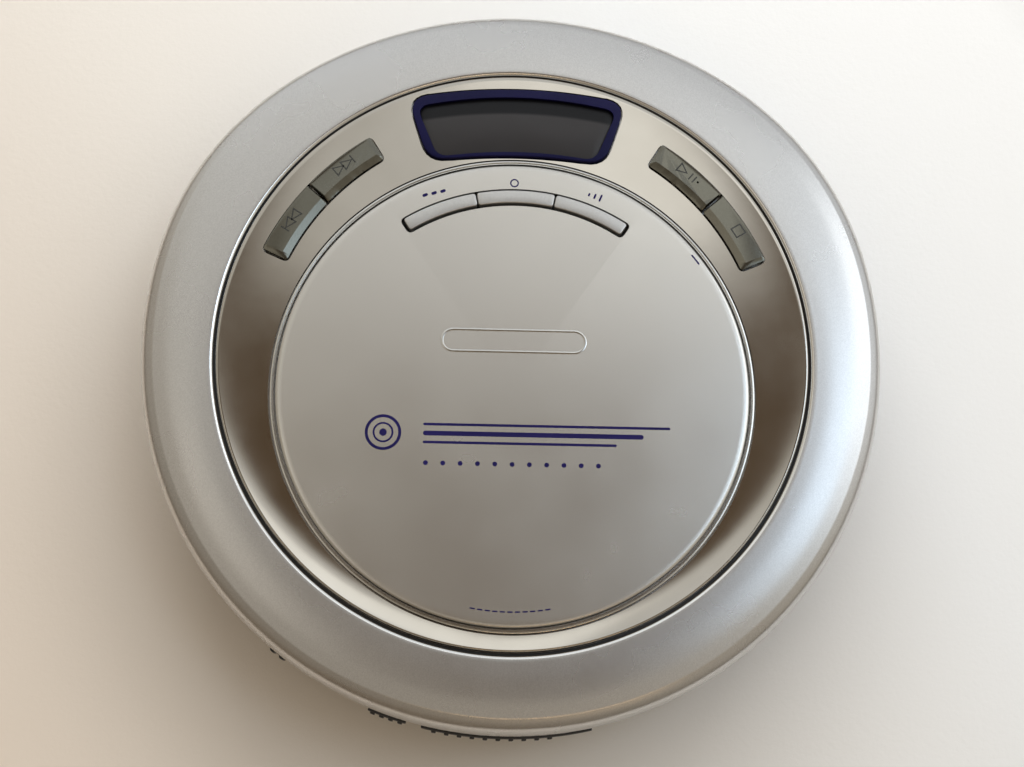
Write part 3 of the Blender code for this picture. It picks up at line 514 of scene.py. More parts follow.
def piece(name, bm, material, body, replaces=None, tools=()):
    """One finished piece on its body: it stands in for a CAD node if one is named. Its one slot holds its
    material. Edges of less than 32 degrees are shaded smooth."""
    obj = raw_object(name, bm)
    cut(obj, tools)
    obj.data.materials.clear()
    obj.data.materials.append(material)
    for polygon in obj.data.polygons:
        polygon.use_smooth = True
    obj.data.set_sharp_from_angle(angle=math.radians(32))
    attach(obj, body)
    if replaces:
        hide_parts(replaces)
    return obj


# ---- camera, floor and light ----
FOCAL, SENSOR = 59.77, 36.0
CAMERA_AZ, CAMERA_EL, CAMERA_ROLL = -6.963, 76.424, 0.824  # degrees
CAMERA_TARGET = Vector((-0.223, -5.782, 30.0))
CAMERA_DISTANCE = 318.0


def look_frame(azimuth, elevation, roll=0.0):
    """Rotation whose Z points from the subject to the eye; azimuth 0 is the front."""
    az, el, turn = (math.radians(a) for a in (azimuth, elevation, roll))
    back = Vector((math.sin(az) * math.cos(el), -math.cos(az) * math.cos(el), math.sin(el)))
    up = Vector((0, 1, 0)) - back * back.y if elevation > 45 else Vector((0, 0, 1)) - back * back.z
    up.normalize()
    right = up.cross(back)
    tilted = right * math.cos(turn) + up * math.sin(turn)
    upright = up * math.cos(turn) - right * math.sin(turn)
    return Matrix((tilted, upright, back)).transposed().to_4x4()


def make_camera():
    data = bpy.data.cameras.new("camera")
    data.lens, data.sensor_width = FOCAL, SENSOR
    data.clip_start, data.clip_end = 0.005, 20.0
    camera = new_object("camera", data)
    turn = look_frame(CAMERA_AZ, CAMERA_EL, CAMERA_ROLL)
    place = CAMERA_TARGET + turn.to_3x3().col[2] * CAMERA_DISTANCE
    camera.matrix_world = Matrix.Translation(place * MM) @ turn
    bpy.context.scene.camera = camera


def softbox(name, azimuth, elevation, distance, size, watts, colour):
    """An area light that faces the middle of the part, in mm and watts."""
    data = bpy.data.lights.new(name, "AREA")
    data.shape = "RECTANGLE"
    data.size, data.size_y = size[0] * MM, size[1] * MM
    data.energy, data.color = watts, colour
    lamp = new_object(name, data)
    turn = look_frame(azimuth, elevation)
    lamp.matrix_world = Matrix.Translation(turn.to_3x3().col[2] * distance * MM + Vector((0, 0, 0.02))) @ turn
    return lamp


# Paper colours with painted shade: warm and darker towards the front left, pale towards the rear right.
FLOOR_PAPER_AND_PAINTED_SHADE = ((0.0, (0.83, 0.715, 0.6)), (0.5, (0.89, 0.84, 0.775)), (1.0, (0.915, 0.915, 0.91)))


def make_floor():
    """A pale sheet of paper with painted shade: warmer and darker towards the front left, and painted dark
    far away as a falloff of the light.
    """
    half = 2500.0
    floor = raw_object("floor", block((-half, half), (-half, half), (-4.0, 0.0)))
    made = material_nodes("floor")
    across = made.vector("DOT_PRODUCT", "Value", made.place, (0.8, 0.5, 0.0))
    paper = made.ramp(made.share(across, -0.12, 0.06), FLOOR_PAPER_AND_PAINTED_SHADE)
    away = made.share(made.vector("LENGTH", "Value", made.place), 0.135, 0.28)
    grain = made.bump(made.noise(700.0, 4.0, 0.7), 0.0002, 0.25)
    made.set(Specular_IOR_Level=0.2)
    # Painted falloff of light: from 0.135 to 0.28 m out the paper turns dark brown, leaving a painted pool of
    # light.
    colour = made.mixed(away, paper, (0.14, 0.105, 0.07, 1.0))
    floor.data.materials.append(made.done(colour, made.spread(made.noise(9.0, 3.0), 0.7, 0.85), grain))


ROOM_BRIGHT_SIDE = (0.42, 0.88, 0.2)
ROOM_COLOURS = (
    (0.02, (0.2, 0.15, 0.1)),
    (0.3, (0.32, 0.28, 0.225)),
    (0.56, (0.46, 0.41, 0.34)),
    (0.66, (0.64, 0.62, 0.56)),
    (0.75, (0.8, 0.8, 0.78)),
    (0.82, (0.84, 0.86, 0.87)),
    (1.0, (0.66, 0.68, 0.7)),
)
SHADE_MIDDLE = (0.04, 0.03, 1.0)
SHADE_HALF = (0.205, 0.238, 0.5)
SHADE_SOFT = 0.026
SHADE_COLOUR = (0.12, 0.08, 0.047, 1.0)


def make_room():
    """A room whose rear and right are bright and whose front is dark and warm, with a dark shade overhead."""
    made = Nodes(bpy.data.worlds.new("room"), "Background", "Generated")
    side = made.vector("DOT_PRODUCT", "Value", made.place, ROOM_BRIGHT_SIDE)
    walls = made.ramp(made.share(side, -1.0, 1.0), ROOM_COLOURS)
    away = made.vector("SUBTRACT", "Vector", made.place, SHADE_MIDDLE)
    off = made.vector("ABSOLUTE", "Vector", away)
    apart = made.add("ShaderNodeSeparateXYZ", {0: off}, "X").node.outputs
    x, y, z = (
        made.share(apart[axis], half - SHADE_SOFT, half + SHADE_SOFT, "SMOOTHSTEP")
        for axis, half in enumerate(SHADE_HALF)
    )
    colour = made.mixed(made.largest(made.largest(x, y), z), SHADE_COLOUR, walls)
    made.tree.links.new(colour, made.shader.inputs["Color"])
    bpy.context.scene.world = made.owner


def make_light():
    make_room()
    softbox("window_light", 112, 42, 760, (420, 360), 0.6, (0.86, 0.93, 1.0))
    softbox("rear_light", 160, 67, 3000, (800, 420), 0.55, (0.99, 1.0, 0.97))
    softbox("lamp_light", 108, 65.5, 3000, (750, 900), 4.2, (0.56, 0.76, 1.0))
    softbox("left_light", -95, 71, 3000, (600, 900), 0.7, (1.0, 0.95, 0.86))
    softbox("crease_light", 14, 47, 3000, (1700, 150), 2.2, (1.0, 0.66, 0.34))
    softbox("table_light", 172, 40, 460, (560, 160), 1.3, (0.98, 0.98, 0.97)).visible_glossy = False
    bpy.context.scene.view_settings.view_transform = "Standard"


# ---- the lid's outside ----
GAP = 0.3
LID_LOW = 19.9
RING_R, RING_Y, SEAT_R = 55.75, 0.15, 56.3
DISH_DROP, DISH_MORE_AT_FRONT, DISH_REACH, DISH_REACH_SHARE = 0.7, 0.3, 5.0, 0.25
BEZEL_R, PANEL_R = 45.4, 44.4
INSET_LOW = 27.9  # underside of what lies in the lid's recess
CUT_LOW, CUT_TOP = 26, 32  # reach of the openings cut through the ring, the panel and the display frame
KEY_IN, KEY_OUT = 47.2, 52.2
KEY_FROM, KEY_SPLIT, KEY_TO, KEY_SPLIT_HALF = 23.6, 40.4, 57.2, 0.22
BUTTON_IN, BUTTON_OUT = 36.4, 39.2
BUTTON_ENDS = (56.4, 78.7, 101.3, 123.6)
DISPLAY_TOP, DISPLAY_LOW = 53.1, 39.3
DISPLAY_WIDE, DISPLAY_NARROW = 21.3, 17.0
TOP_BOW, LOW_BOW = 2.4, 1.4


def lid_shell_loops():
    """The section of the lid, from the recess lip over the crease and the skirt to the inside."""
    lip = rounds((SEAT_R, 27.7), (SEAT_R, 29.62), (SEAT_R + 0.12, 29.8), (SEAT_R + 0.3, 29.95))
    top = rounds((SEAT_R + 0.55, TOP_Z), (60.5, 29.94)) + edges((6.0, 29.62), (CREASE + 0.35, 29.14))
    crease = edges((CREASE + 0.16, 29.1), (CREASE, 29.07), (CREASE - 0.2, 29.0))
    side = edges((2.7, 28.95), (1.6, 28.32), (0.8, 27.4), (0.27, 25.9), (0.0, 23.2))
    hem = edges((0.0, 20.35), (0.07, 20.1), (0.25, 19.94), (0.5, LID_LOW))
    inside = edges((1.7, LID_LOW), (1.7, 24.4), (4.2, LID_UNDER))
    under = rounds((60.5, LID_UNDER), (SEAT_R, LID_UNDER))
    return lip + eased(top) + crease + eased(side) + hem + inside + under


def button_slots():
    """The openings for the small buttons' stems."""
    for start, stop in zip(BUTTON_ENDS, BUTTON_ENDS[1:]):
        yield sector(BUTTON_IN + 0.4, BUTTON_OUT - 0.4, start + 5, stop - 5, PANEL_Y)


def stem_holes():
    """The openings in the lid's floor for the key stems, the small buttons' stems and the display glass."""
    for start, stop in ((KEY_FROM, KEY_SPLIT), (KEY_SPLIT, KEY_TO)):
        plan = sector(KEY_IN + 0.9, KEY_OUT - 0.9, start + 3.3, stop - 3.3, KEY_Y)
        yield plan
        yield mirrored(plan)
    yield from button_slots()
    yield oblong((-15.5, 15.5), (41.0, 49.0))


def make_lid_shell():
    loops = lid_shell_loops()
    shell = piece("lid_shell_surface", skin(loops, closed=True), SILVER, "lid", "lid_shell")
    shell.data.materials.append(EDGE)
    for polygon in shell.data.polygons:
        middle = polygon.center / MM
        if math.hypot(middle.x, middle.y) < SEAT_R + 0.5 and middle.z > 29.5:
            polygon.material_index = 1
    holes = [prism(plan, 25.5, 28.5) for plan in stem_holes()]
    piece("lid_floor", drum(SEAT_R, LID_UNDER, LID_FLOOR, 180), SILVER, "lid", tools=holes)


def key_plan(inner, outer, start, stop, centre_y, corner, steps=24):
    """A curved key's outline with its corners rounded."""
    return softened(sector(inner, outer, start, stop, centre_y, steps), corner)


def button_pocket(play, spare, low, high):
    """The pocket round the three small buttons, or its filling: a black sheet of painted shade on its floor.
    """
    ends = BUTTON_ENDS[0] - spare, BUTTON_ENDS[-1] + spare
    return prism(key_plan(BUTTON_IN - play, BUTTON_OUT + play, *ends, PANEL_Y, 1.1, 60), low, high)


def display_outline(inset_top, inset_side, inset_low, corner, steps=28):
    """The display's outline: bowed top and bottom edges and slanted sides with rounded corners."""
    top, low = DISPLAY_TOP - inset_top, DISPLAY_LOW + inset_low
    wide, narrow = DISPLAY_WIDE - inset_side, DISPLAY_NARROW - inset_side
    across = [1 - 2 * i / steps for i in range(steps + 1)]
    upper = [(wide * t, top - TOP_BOW * t * t) for t in across]
    lower = [(-narrow * t, low - LOW_BOW * t * t) for t in across]
    return softened(upper + lower, corner)


def ring_loops(steps=26):
    """The ring's dished section: it falls steeply from the outer edge at the front and gently at the rear."""
    inner = BEZEL_R + GAP
    outside = (RING_R, INSET_LOW), (RING_R, 29.62), (RING_R - 0.07, 29.8), (RING_R - 0.2, 29.9)
    rows = rounds(*outside, centre_y=RING_Y)
    across = list(zip(circle(RING_R - 0.32, FINE, RING_Y), circle(inner, FINE, PANEL_Y)))
    for i in range(steps + 1):
        share = i / steps
        row = []
        for (x1, y1), (x2, y2) in across:
            width = math.hypot(x2 - x1, y2 - y1)
            drop = DISH_DROP - DISH_MORE_AT_FRONT * y1 / RING_R
            reach = DISH_REACH + DISH_REACH_SHARE * width
            z = 29.93 - drop * (1 - math.exp(-width * share / reach))
            row.append((x1 + (x2 - x1) * share, y1 + (y2 - y1) * share, z))
        rows.append(row)
    return rows + rounds((inner, INSET_LOW), centre_y=PANEL_Y)


def make_ring():
    """The polished ring with its openings, and a black ring in the gap outside it as painted shade."""
    keys = key_plan(KEY_IN - GAP, KEY_OUT + GAP, KEY_FROM - 0.4, KEY_TO + 0.4, KEY_Y, 1.2)
    plans = display_outline(-GAP, -GAP, -GAP, 4.2), keys, mirrored(keys)
    openings = [prism(plan, CUT_LOW, CUT_TOP) for plan in plans]
    ring = skin(ring_loops(), closed=True)
    piece("chrome_ring_surface", ring, CHROME, "lid", "chrome_ring", openings)
    # Painted shade: a black ring at the bottom of the gap between the polished ring and the lid.
    gap_shade = hoop(RING_R - 0.02, SEAT_R - 0.02, LID_FLOOR + 0.02, 28.6, 180)
    piece("ring_gap_shade", gap_shade, BLACK, "lid")


def make_bezel():
    """A stepped frame round the panel: an outer rim, a fine groove and an inner bead."""
    rim = [(PANEL_R + 0.3, INSET_LOW), (BEZEL_R, INSET_LOW), (BEZEL_R, 29.66), (BEZEL_R - 0.06, 29.79)]
    rim += [(BEZEL_R - 0.18, 29.85), (BEZEL_R - 0.32, 29.85), (BEZEL_R - 0.38, 29.78)]
    groove = [(BEZEL_R - 0.38, 29.5), (BEZEL_R - 0.52, 29.5)]
    bead = [(BEZEL_R - 0.52, 29.7), (BEZEL_R - 0.58, 29.78), (PANEL_R + 0.3, 29.78)]
    frame_bm = turned(rim + groove + bead, FINE, (0, PANEL_Y), closed=True)
    piece("disc_bezel_surface", frame_bm, BEZEL, "lid", "disc_bezel")


def make_panel():
    """The satin disc: a crowned edge and a pocket for the small buttons."""
    section = [(0, INSET_LOW), (PANEL_R, INSET_LOW), (PANEL_R, 29.7), (PANEL_R - 0.05, 29.86)]
    section += [(PANEL_R - 0.16, 30.02), (PANEL_R - 0.36, 30.13), (PANEL_R - 0.7, 30.18)]
    section += [(PANEL_R - 1.4, PANEL_TOP), (0, PANEL_TOP)]
    disc = turned(section, FINE, (0, PANEL_Y))
    pocket = button_pocket(GAP, 0.55, CUT_LOW, CUT_TOP)
    piece("disc_panel_surface", disc, SATIN, "lid", "disc_panel", [pocket])


def make_display():
    """A dark indigo frame with round corners and a smoked window sunk in it."""
    rim = bevelled(prism(display_outline(0, 0, 0, 4.0), INSET_LOW, 30.25), 0.25, 4)
    hole = prism(display_outline(1.65, 1.8, 0.85, 2.4), CUT_LOW, CUT_TOP)
    piece("display_frame_surface", rim, INDIGO, "lid", "display_frame", [hole])
    window = bevelled(prism(display_outline(1.7, 1.85, 0.9, 2.3), 29.0, 29.6), 0.1, 2)
    piece("display_window_surface", window, SMOKE, "lid", "display_window")


# ---- keys ----
KEY_LOW, KEY_TOP, BUTTON_TOP = 28.6, 30.7, 30.4
STEM_LOW, STEM_TOP = 25.5, KEY_LOW + 0.4
WIDE_FACET, WIDE_DROP, SMALL_FACET, SMALL_DROP = 1.25, 0.75, 0.22, 0.2
KEYS = (
    ("stop_key", False, 0, "stop"),
    ("play_pause_key", False, 1, "play"),
    ("skip_back_key", True, 0, "back"),
    ("skip_forward_key", True, 1, "forward"),
)
BUTTONS = ("sound_button", "enter_button", "mode_button")
TRIANGLE = [(-0.95, 0.85), (0.85, 0.0), (-0.95, -0.85)]


def faceted_key(start, stop, end_facets):
    """A flat key with a wide bevel along its inner side and at one end, and small bevels elsewhere."""
    bm = prism(key_plan(KEY_IN, KEY_OUT, start, stop, KEY_Y, 0.5), KEY_LOW, KEY_TOP)
    lid = max(bm.faces, key=lambda face: face.calc_center_median().z)
    first, last = math.radians(start), math.radians(stop)
    face = [bm.verts.new((vert.co.x, vert.co.y, KEY_TOP)) for vert in lid.verts]
    rim = list(lid.verts)
    bmesh.ops.delete(bm, geom=[lid], context="FACES_ONLY")
    for high, low in zip(face, rim):
        x, y = low.co.x, low.co.y - KEY_Y
        radius, angle = math.hypot(x, y), math.atan2(y, x)
        radius = min(max(radius, KEY_IN + WIDE_FACET), KEY_OUT - SMALL_FACET)
        angle = min(max(angle, first + end_facets[0] / radius), last - end_facets[1] / radius)
        high.co.x, high.co.y = radius * math.cos(angle), KEY_Y + radius * math.sin(angle)
        inward = max(0.0, 1 - (math.hypot(x, y) - KEY_IN) / WIDE_FACET)
        low.co.z = KEY_TOP - SMALL_DROP - (WIDE_DROP - SMALL_DROP) * min(1.0, inward * 1.5)
    for k in range(len(rim)):
        m = (k + 1) % len(rim)
        bm.faces.new((rim[k], rim[m], face[m], face[k]))
    bm.faces.new(face)
    bmesh.ops.remove_doubles(bm, verts=bm.verts, dist=1e-4)
    return bevelled(bm, 0.07, 2, 14)


def symbol(kind):
    """Outlines of the generic transport signs, about 3 mm wide, each with whether it is a closed line."""
    if kind == "stop":
        return [(oblong((-0.9, 0.9), (-0.9, 0.9)), True)]
    if kind == "play":
        bars = [([(0.75, -0.7), (0.75, 0.7)], False), ([(1.6, -0.7), (1.6, 0.7)], False)]
        return [(placed(TRIANGLE, -1.0), True)] + bars
    sign = 1 if kind == "forward" else -1
    arrows = [([(sign * (x + shift), y) for x, y in TRIANGLE], True) for shift in (-1.0, 0.75)]
    return arrows + [([(sign * 1.85, -0.85), (sign * 1.85, 0.85)], False)]


def key_sign(kind, x, y, turn):
    """A key's sign as thin bands sunk in its face; play and pause has a dot beside it."""
    low = KEY_TOP - 0.12
    lines = []
    for plan, closed in symbol(kind):
        lines.append(ribbon(placed(plan, x, y, turn, 1.1), 0.28, low, KEY_TOP + 0.004, closed))
    if kind == "play":
        dot_at = placed([(2.6, 0.0)], x, y, turn)[0]
        lines.append(prism(placed(circle(0.22, 20), *dot_at), low, KEY_TOP))
    return merged(*lines)


def make_keys():
    """Four faceted keys with their signs, on the two shoulders of the polished ring."""
    ends = ((KEY_FROM, KEY_SPLIT - KEY_SPLIT_HALF), (KEY_SPLIT + KEY_SPLIT_HALF, KEY_TO))
    facets = ((0.9, 0.25), (0.25, 0.9))
    for name, flip, row, sign in KEYS:
        start, stop = ends[row]
        stem = sector(KEY_IN + 1.4, KEY_OUT - 1.4, start + 3.9, stop - 3.9, KEY_Y)
        whole = merged(faceted_key(start, stop, facets[row]), prism(stem, STEM_LOW, STEM_TOP))
        piece(name + "_cap", flipped(whole) if flip else whole, OLIVE, name, name)
        along = (start + stop) / 2
        x, y = polar(KEY_IN + 3.1, along, KEY_Y)
        at = (-x, y, 90 - along) if flip else (x, y, along - 90)
        piece(name + "_sign", key_sign(sign, *at), MARK, name)


def make_buttons():
    """Three small arc-shaped buttons in one pocket of the satin panel, with painted shade at the pocket's
    bottom.
    """
    for row, (name, start, stop) in enumerate(zip(BUTTONS, BUTTON_ENDS, BUTTON_ENDS[1:])):
        ends = start + (0.45 if row == 0 else 0.18), stop - (0.45 if row == 2 else 0.18)
        plan = key_plan(BUTTON_IN + GAP, BUTTON_OUT, *ends, PANEL_Y, 0.55, 40)
        cap = bevelled(prism(plan, KEY_LOW, BUTTON_TOP), 0.22, 4)
        stem = sector(BUTTON_IN + 0.8, BUTTON_OUT - 0.8, start + 6, stop - 6, PANEL_Y)
        piece(name + "_cap", merged(cap, prism(stem, STEM_LOW, STEM_TOP)), BUTTON, name, name)
    slots = [prism(plan, 27, 29) for plan in button_slots()]
    # Painted shade: a black sheet on the pocket's floor darkens the gaps round the buttons.
    gap_shade = button_pocket(GAP - 0.02, 0.5, LID_FLOOR + 0.02, 27.82)
    piece("button_gap_shade", gap_shade, BLACK, "lid", tools=slots)


# ---- printed and raised marks ----
PRINT_T = 0.012
DISC_MARK_AT = (-24.0, -15.6)
DASHES_R = 41.5


def inked(name, *bands):
    """One mark in ink on the lid."""
    piece(name, merged(*bands), INK, "lid")


def printed(name, shapes, z=PANEL_TOP):
    """A mark of flat plans."""
    inked(name, *[prism(plan, z, z + PRINT_T) for plan in shapes])


def ring_band(radius, count, width, at):
    """A thin printed circle."""
    return ribbon(placed(circle(radius, count), *at), width, PANEL_TOP, PANEL_TOP + PRINT_T)


def make_marks():
    """Plain marks in place of all lettering: pictograms, a disc sign, stripes, dots and a dashed arc."""
    steps = (-1, 0, 1)
    inked("enter_mark", ring_band(0.72, 28, 0.26, (-0.3, 33.8)))
    printed("mode_mark", [pill(-15.7 + 1.7 * i, 31.4 + 0.45 * i, 1.1, 0.6, 22) for i in steps])
    printed("sound_mark", [pill(15.2 + 1.1 * i, 31.5 - 0.32 * i, 1.1 + 0.4 * i, 0.38, 68) for i in steps])
    printed("charge_mark", [pill(34.4, 19.2, 2.4, 0.5, -52)], 30.185)
    dot = prism(placed(circle(0.7, 32), *DISC_MARK_AT), PANEL_TOP, PANEL_TOP + PRINT_T)
    inked("disc_mark", ring_band(3.1, 64, 0.55, DISC_MARK_AT), ring_band(1.75, 48, 0.35, DISC_MARK_AT), dot)
    stripes = ((6.4, -13.9, 46.0, 0.5), (3.9, -15.6, 41.0, 0.9), (1.4, -17.3, 36.0, 0.5))
    printed("stripe_mark", [pill(*stripe) for stripe in stripes])
    printed("dot_mark", [placed(circle(0.45, 20), -16.0 + 3.2 * i, -21.2) for i in range(11)])
    turns = [1.9 * (i - 5) for i in range(11)]
    printed("edge_mark", [pill(*polar(DASHES_R, 270 + turn, PANEL_Y), 1.0, 0.26, turn) for turn in turns])
    crest = ribbon(pill(0, 2.4, 27.0, 4.2), 0.5, PANEL_TOP - 0.05, PANEL_TOP + 0.09)
    piece("raised_crest", bevelled(crest, 0.06, 2), BEZEL, "lid")


# ---- the lower half ----
CASE_Z, FLOOR_TOP, CASE_TOP, WALL = 0.8, 2.4, 19.4, 1.7
DECK_TOP, DECK_T, WELL_R = 18.0, 1.2, 61.8
SWEEP_R = 5.4
NOTCH_X, NOTCH_Y, NOTCH_Z = 24.6, 63.3, 15.6
OPEN_AT, OPEN_HALF = 270.0, 13.0
HOLD_AT, HOLD_HALF = 251.6, 3.0
SLIDE_LOW, SLIDE_HIGH = 15.4, 18.9
WHEEL_AT, WHEEL_R, WHEEL_LOW, WHEEL_HIGH, WHEEL_FROM_AXIS = 232.0, 9.0, 12.6, 15.6, 61.7
WHEEL_TEETH = 24
FEET = ((27.0, 52.0), (-27.0, 52.0), (-46.0, -36.0), (46.0, -36.0))
SCREWS = ((43.0, 43.0), (-43.0, 43.0), (-58.0, -22.0), (58.0, -22.0))
DAMPERS = ((-13.0, 12.0), (-13.0, -12.0), (40.0, 21.0))
SOCKETS = (("headphone_jack", 307.6, 1.75), ("line_out_jack", 322.0, 1.75), ("dc_jack", 60.0, 2.0))
SOCKET_Z, SOCKET_R = 10.0, 3.1
BAY_X, BAY_FRONT, BAY_REAR = 26.0, -56.5, -26.5
DOOR_Y, DOOR_Z, DOOR_TOP = -26.2, 1.65, 2.0
BASE_LUG, LID_LUG, LUG_R = (3.5, 8.0), (8.5, 13.0), 1.9


def case_loops():
    """The tub's section: a flat underside, a rounded boat-like side with one step, and the inside wall."""
    under = edges((6.5, CASE_Z), (4.9, 1.15), (3.4, 1.95), (2.5, 3.0), (1.8, 4.5))
    side = edges((1.38, 6.5), (1.0, 9.0), (0.72, 12.2), (0.6, 14.6))
    seam = edges((0.6, 14.75), (0.82, 14.8), (0.82, 15.05), (0.56, 15.1))
    rim = edges((0.5, 19.1), (0.56, 19.28), (0.72, CASE_TOP))
    inside = edges((2.2, CASE_TOP), (2.7, 9.0), (3.5, 5.0), (5.8, FLOOR_TOP))
    return eased(under + side, 3) + seam + rim + inside


def case_openings():
    """What is cut from the tub: hinge sweep, battery bay, feet, screws, controls, sockets and underside."""
    yield along_x(SWEEP_R, -NOTCH_X, NOTCH_X, HINGE_Y, HINGE_Z, 96)
    yield block((-BAY_X - 1.6, BAY_X + 1.6), (BAY_FRONT - 0.6, BAY_REAR + 1.6), (0, 3))
    for at in FEET:
        yield drum(4.5, -1, 1.7, 64, at)
    for at in SCREWS:
        yield drum(2.4, -1, 3.6, 48, at)
    yield edge_band(-3, 3.5, OPEN_AT - 4.2, OPEN_AT + 7.6, 16.0, 18.3)
    yield edge_band(-3, 3.5, HOLD_AT - 3.0, HOLD_AT + 3.0, 16.0, 18.3)
    yield edge_band(-3, 5, WHEEL_AT - 6.0, WHEEL_AT + 6.0, WHEEL_LOW - GAP, WHEEL_HIGH + GAP)
    for _, angle, _ in SOCKETS:
        yield spoke(SOCKET_R + GAP, 60, 80, angle, SOCKET_Z)
    # A row of cooling slots and a shallow recess behind the battery door.
    for i in range(7):
        yield prism(pill(-18 + 6 * i, 14, 9, 1.3, 90), 0, 1.35)
    yield prism(softened(oblong((-22, 22), (-19, 3)), 1.6), 0, 0.95)


def make_hinge_lugs(body, ends, y, z, rounding, material):
    """A lug on each side of the rear, with the bracket that carries it."""
    for side, name in ((-1, "left"), (1, "right")):
        low, high = sorted(side * x for x in ends)
        bracket = bevelled(block((low + 0.4, high - 0.4), y, z), rounding, 2)
        lug = bevelled(along_x(LUG_R, low, high, HINGE_Y, HINGE_Z), 0.12, 2, 60)
        piece(f"{body}_hinge_lug_{name}", merged(bracket, lug), material, body)


def make_case():
    tub = skin(case_loops(), capped=True)
    piece("lower_case_surface", tub, CASE, "base", "lower_case", list(case_openings()))
    posts = [drum(1.6, 2.3, 9.0, 32, at) for at in DAMPERS]
    posts += [hoop(1.3, 3.6, 3.6, 16.4, 32, at) for at in SCREWS]
    piece("case_posts", merged(*posts), CASE, "base")
    make_hinge_lugs("base", BASE_LUG, (HINGE_Y - 1.8, HINGE_Y + 0.2), (2.3, HINGE_Z - 0.8), 0.15, CASE)


def make_feet_and_screws():
    pad = [(0, 0.12), (2.9, 0.1), (3.1, 0.0), (3.45, 0.0), (3.75, 0.12), (4.1, 0.5), (4.2, 0.8), (4.2, 1.4)]
    pad.append((0, 1.4))
    for i, at in enumerate(FEET, 1):
        piece(f"foot_{i}_pad", turned(pad, 64, at), RUBBER, "base", f"foot_{i}")
    head = [(0, 1.4), (1.75, 1.4), (1.95, 1.55), (2.0, 1.8), (2.0, 3.3), (1.0, 3.3), (1.0, 12.5), (0, 12.5)]
    long, thin = 1.3, 0.24
    for i, (x, y) in enumerate(SCREWS, 1):
        cross = [block((x - a, x + a), (y - b, y + b), (1, 2.2)) for a, b in ((long, thin), (thin, long))]
        piece(f"case_screw_{i}_head", turned(head, 48, (x, y)), STEEL, "base", f"case_screw_{i}", cross)


def make_slides():
    """The OPEN and HOLD slides: thin curved bars with rounded ribs and a tongue that goes into the case."""
    rib_low, rib_high = SLIDE_LOW + 0.4, SLIDE_HIGH - 0.4
    for name, middle, half, tongue, ribs, first, step in (
        ("open_slider", OPEN_AT, OPEN_HALF, 3.4, 10, -11.0, 1.95),
        ("hold_switch", HOLD_AT, HOLD_HALF, 1.2, 4, -2.2, 1.45),
    ):
        bar = bevelled(edge_band(-0.4, 0.2, middle - half, middle + half, SLIDE_LOW, SLIDE_HIGH, 40), 0.16, 3)
        parts = [bar, edge_band(-0.1, 2.9, middle - tongue, middle + tongue, 16.3, 18.0, 12)]
        for i in range(ribs):
            at = middle + first + step * i
            rib = edge_band(-0.75, -0.2, at - 0.35, at + 0.35, rib_low, rib_high, 4)
            parts.append(bevelled(rib, 0.17, 3))
        piece(name + "_bar", merged(*parts), CONTROL, name, name)


def make_wheel():
    """The volume wheel's ribbed rim, standing out of the left of the front."""
    x, y = polar(WHEEL_FROM_AXIS, WHEEL_AT)
    tooth = ((-0.3, -0.4), (-0.2, -0.08), (-0.1, 0.0), (0.1, 0.0), (0.2, -0.08), (0.3, -0.4))
    plan = []
    for i in range(WHEEL_TEETH):
        for share, deeper in tooth:
            turn = math.tau * (i + share) / WHEEL_TEETH
            radius = WHEEL_R + deeper
            plan.append((x + radius * math.cos(turn), y + radius * math.sin(turn)))
    wheel = bevelled(prism(plan, WHEEL_LOW, WHEEL_HIGH), 0.16, 2, 60)
    piece("volume_wheel_rim", wheel, CONTROL, "volume_wheel", "volume_wheel", [drum(1.8, 12, 16, 32, (x, y))])


def make_sockets():
    """Round sockets with a rounded mouth and a stepped bore, each in a square body inside the case."""
    for name, angle, bore in SOCKETS:
        plated = name == "headphone_jack"
        finish = STEEL if plated else SOCKET
        outer = outline_r(math.radians(angle))
        start, stop = outer - 11.5, outer - (0.0 if plated else 0.7)
        barrel = bevelled(spoke(SOCKET_R, start, stop, angle, SOCKET_Z, 64), 0.25, 3, 60)
        body = block((start - 2.0, start + 4.5), (-4.2, 4.2), (SOCKET_Z - 3.6, SOCKET_Z + 3.6))
        turn = Matrix.Rotation(math.radians(angle), 3, "Z")
        bmesh.ops.rotate(body, cent=(0, 0, 0), matrix=turn, verts=body.verts)
        holes = [spoke(wide, first, stop + 2, angle, SOCKET_Z)
                 for wide, first in ((bore, start + 1.0), (bore + 0.45, stop - 0.35))]
        piece(name + "_barrel", barrel, finish, "base", name, holes)
        piece(name + "_body", body, SOCKET, "base")


# ---- the disc well and the drive ----
HUB_R, PLATTER_R, HUB_TOP, DISC_Z = 7.3, 14.0, 21.5, 19.6
LENS_X, LENS_R = 24.0, 3.0
ROD_Y, SCREW_Y, DRIVE_Z, ROD_R, SCREW_R = 13.0, -11.0, 11.0, 1.0, 1.2
SWITCH = (-41.6, 49.6)
COVER_LOW, COVER_T = 22.6, 1.0


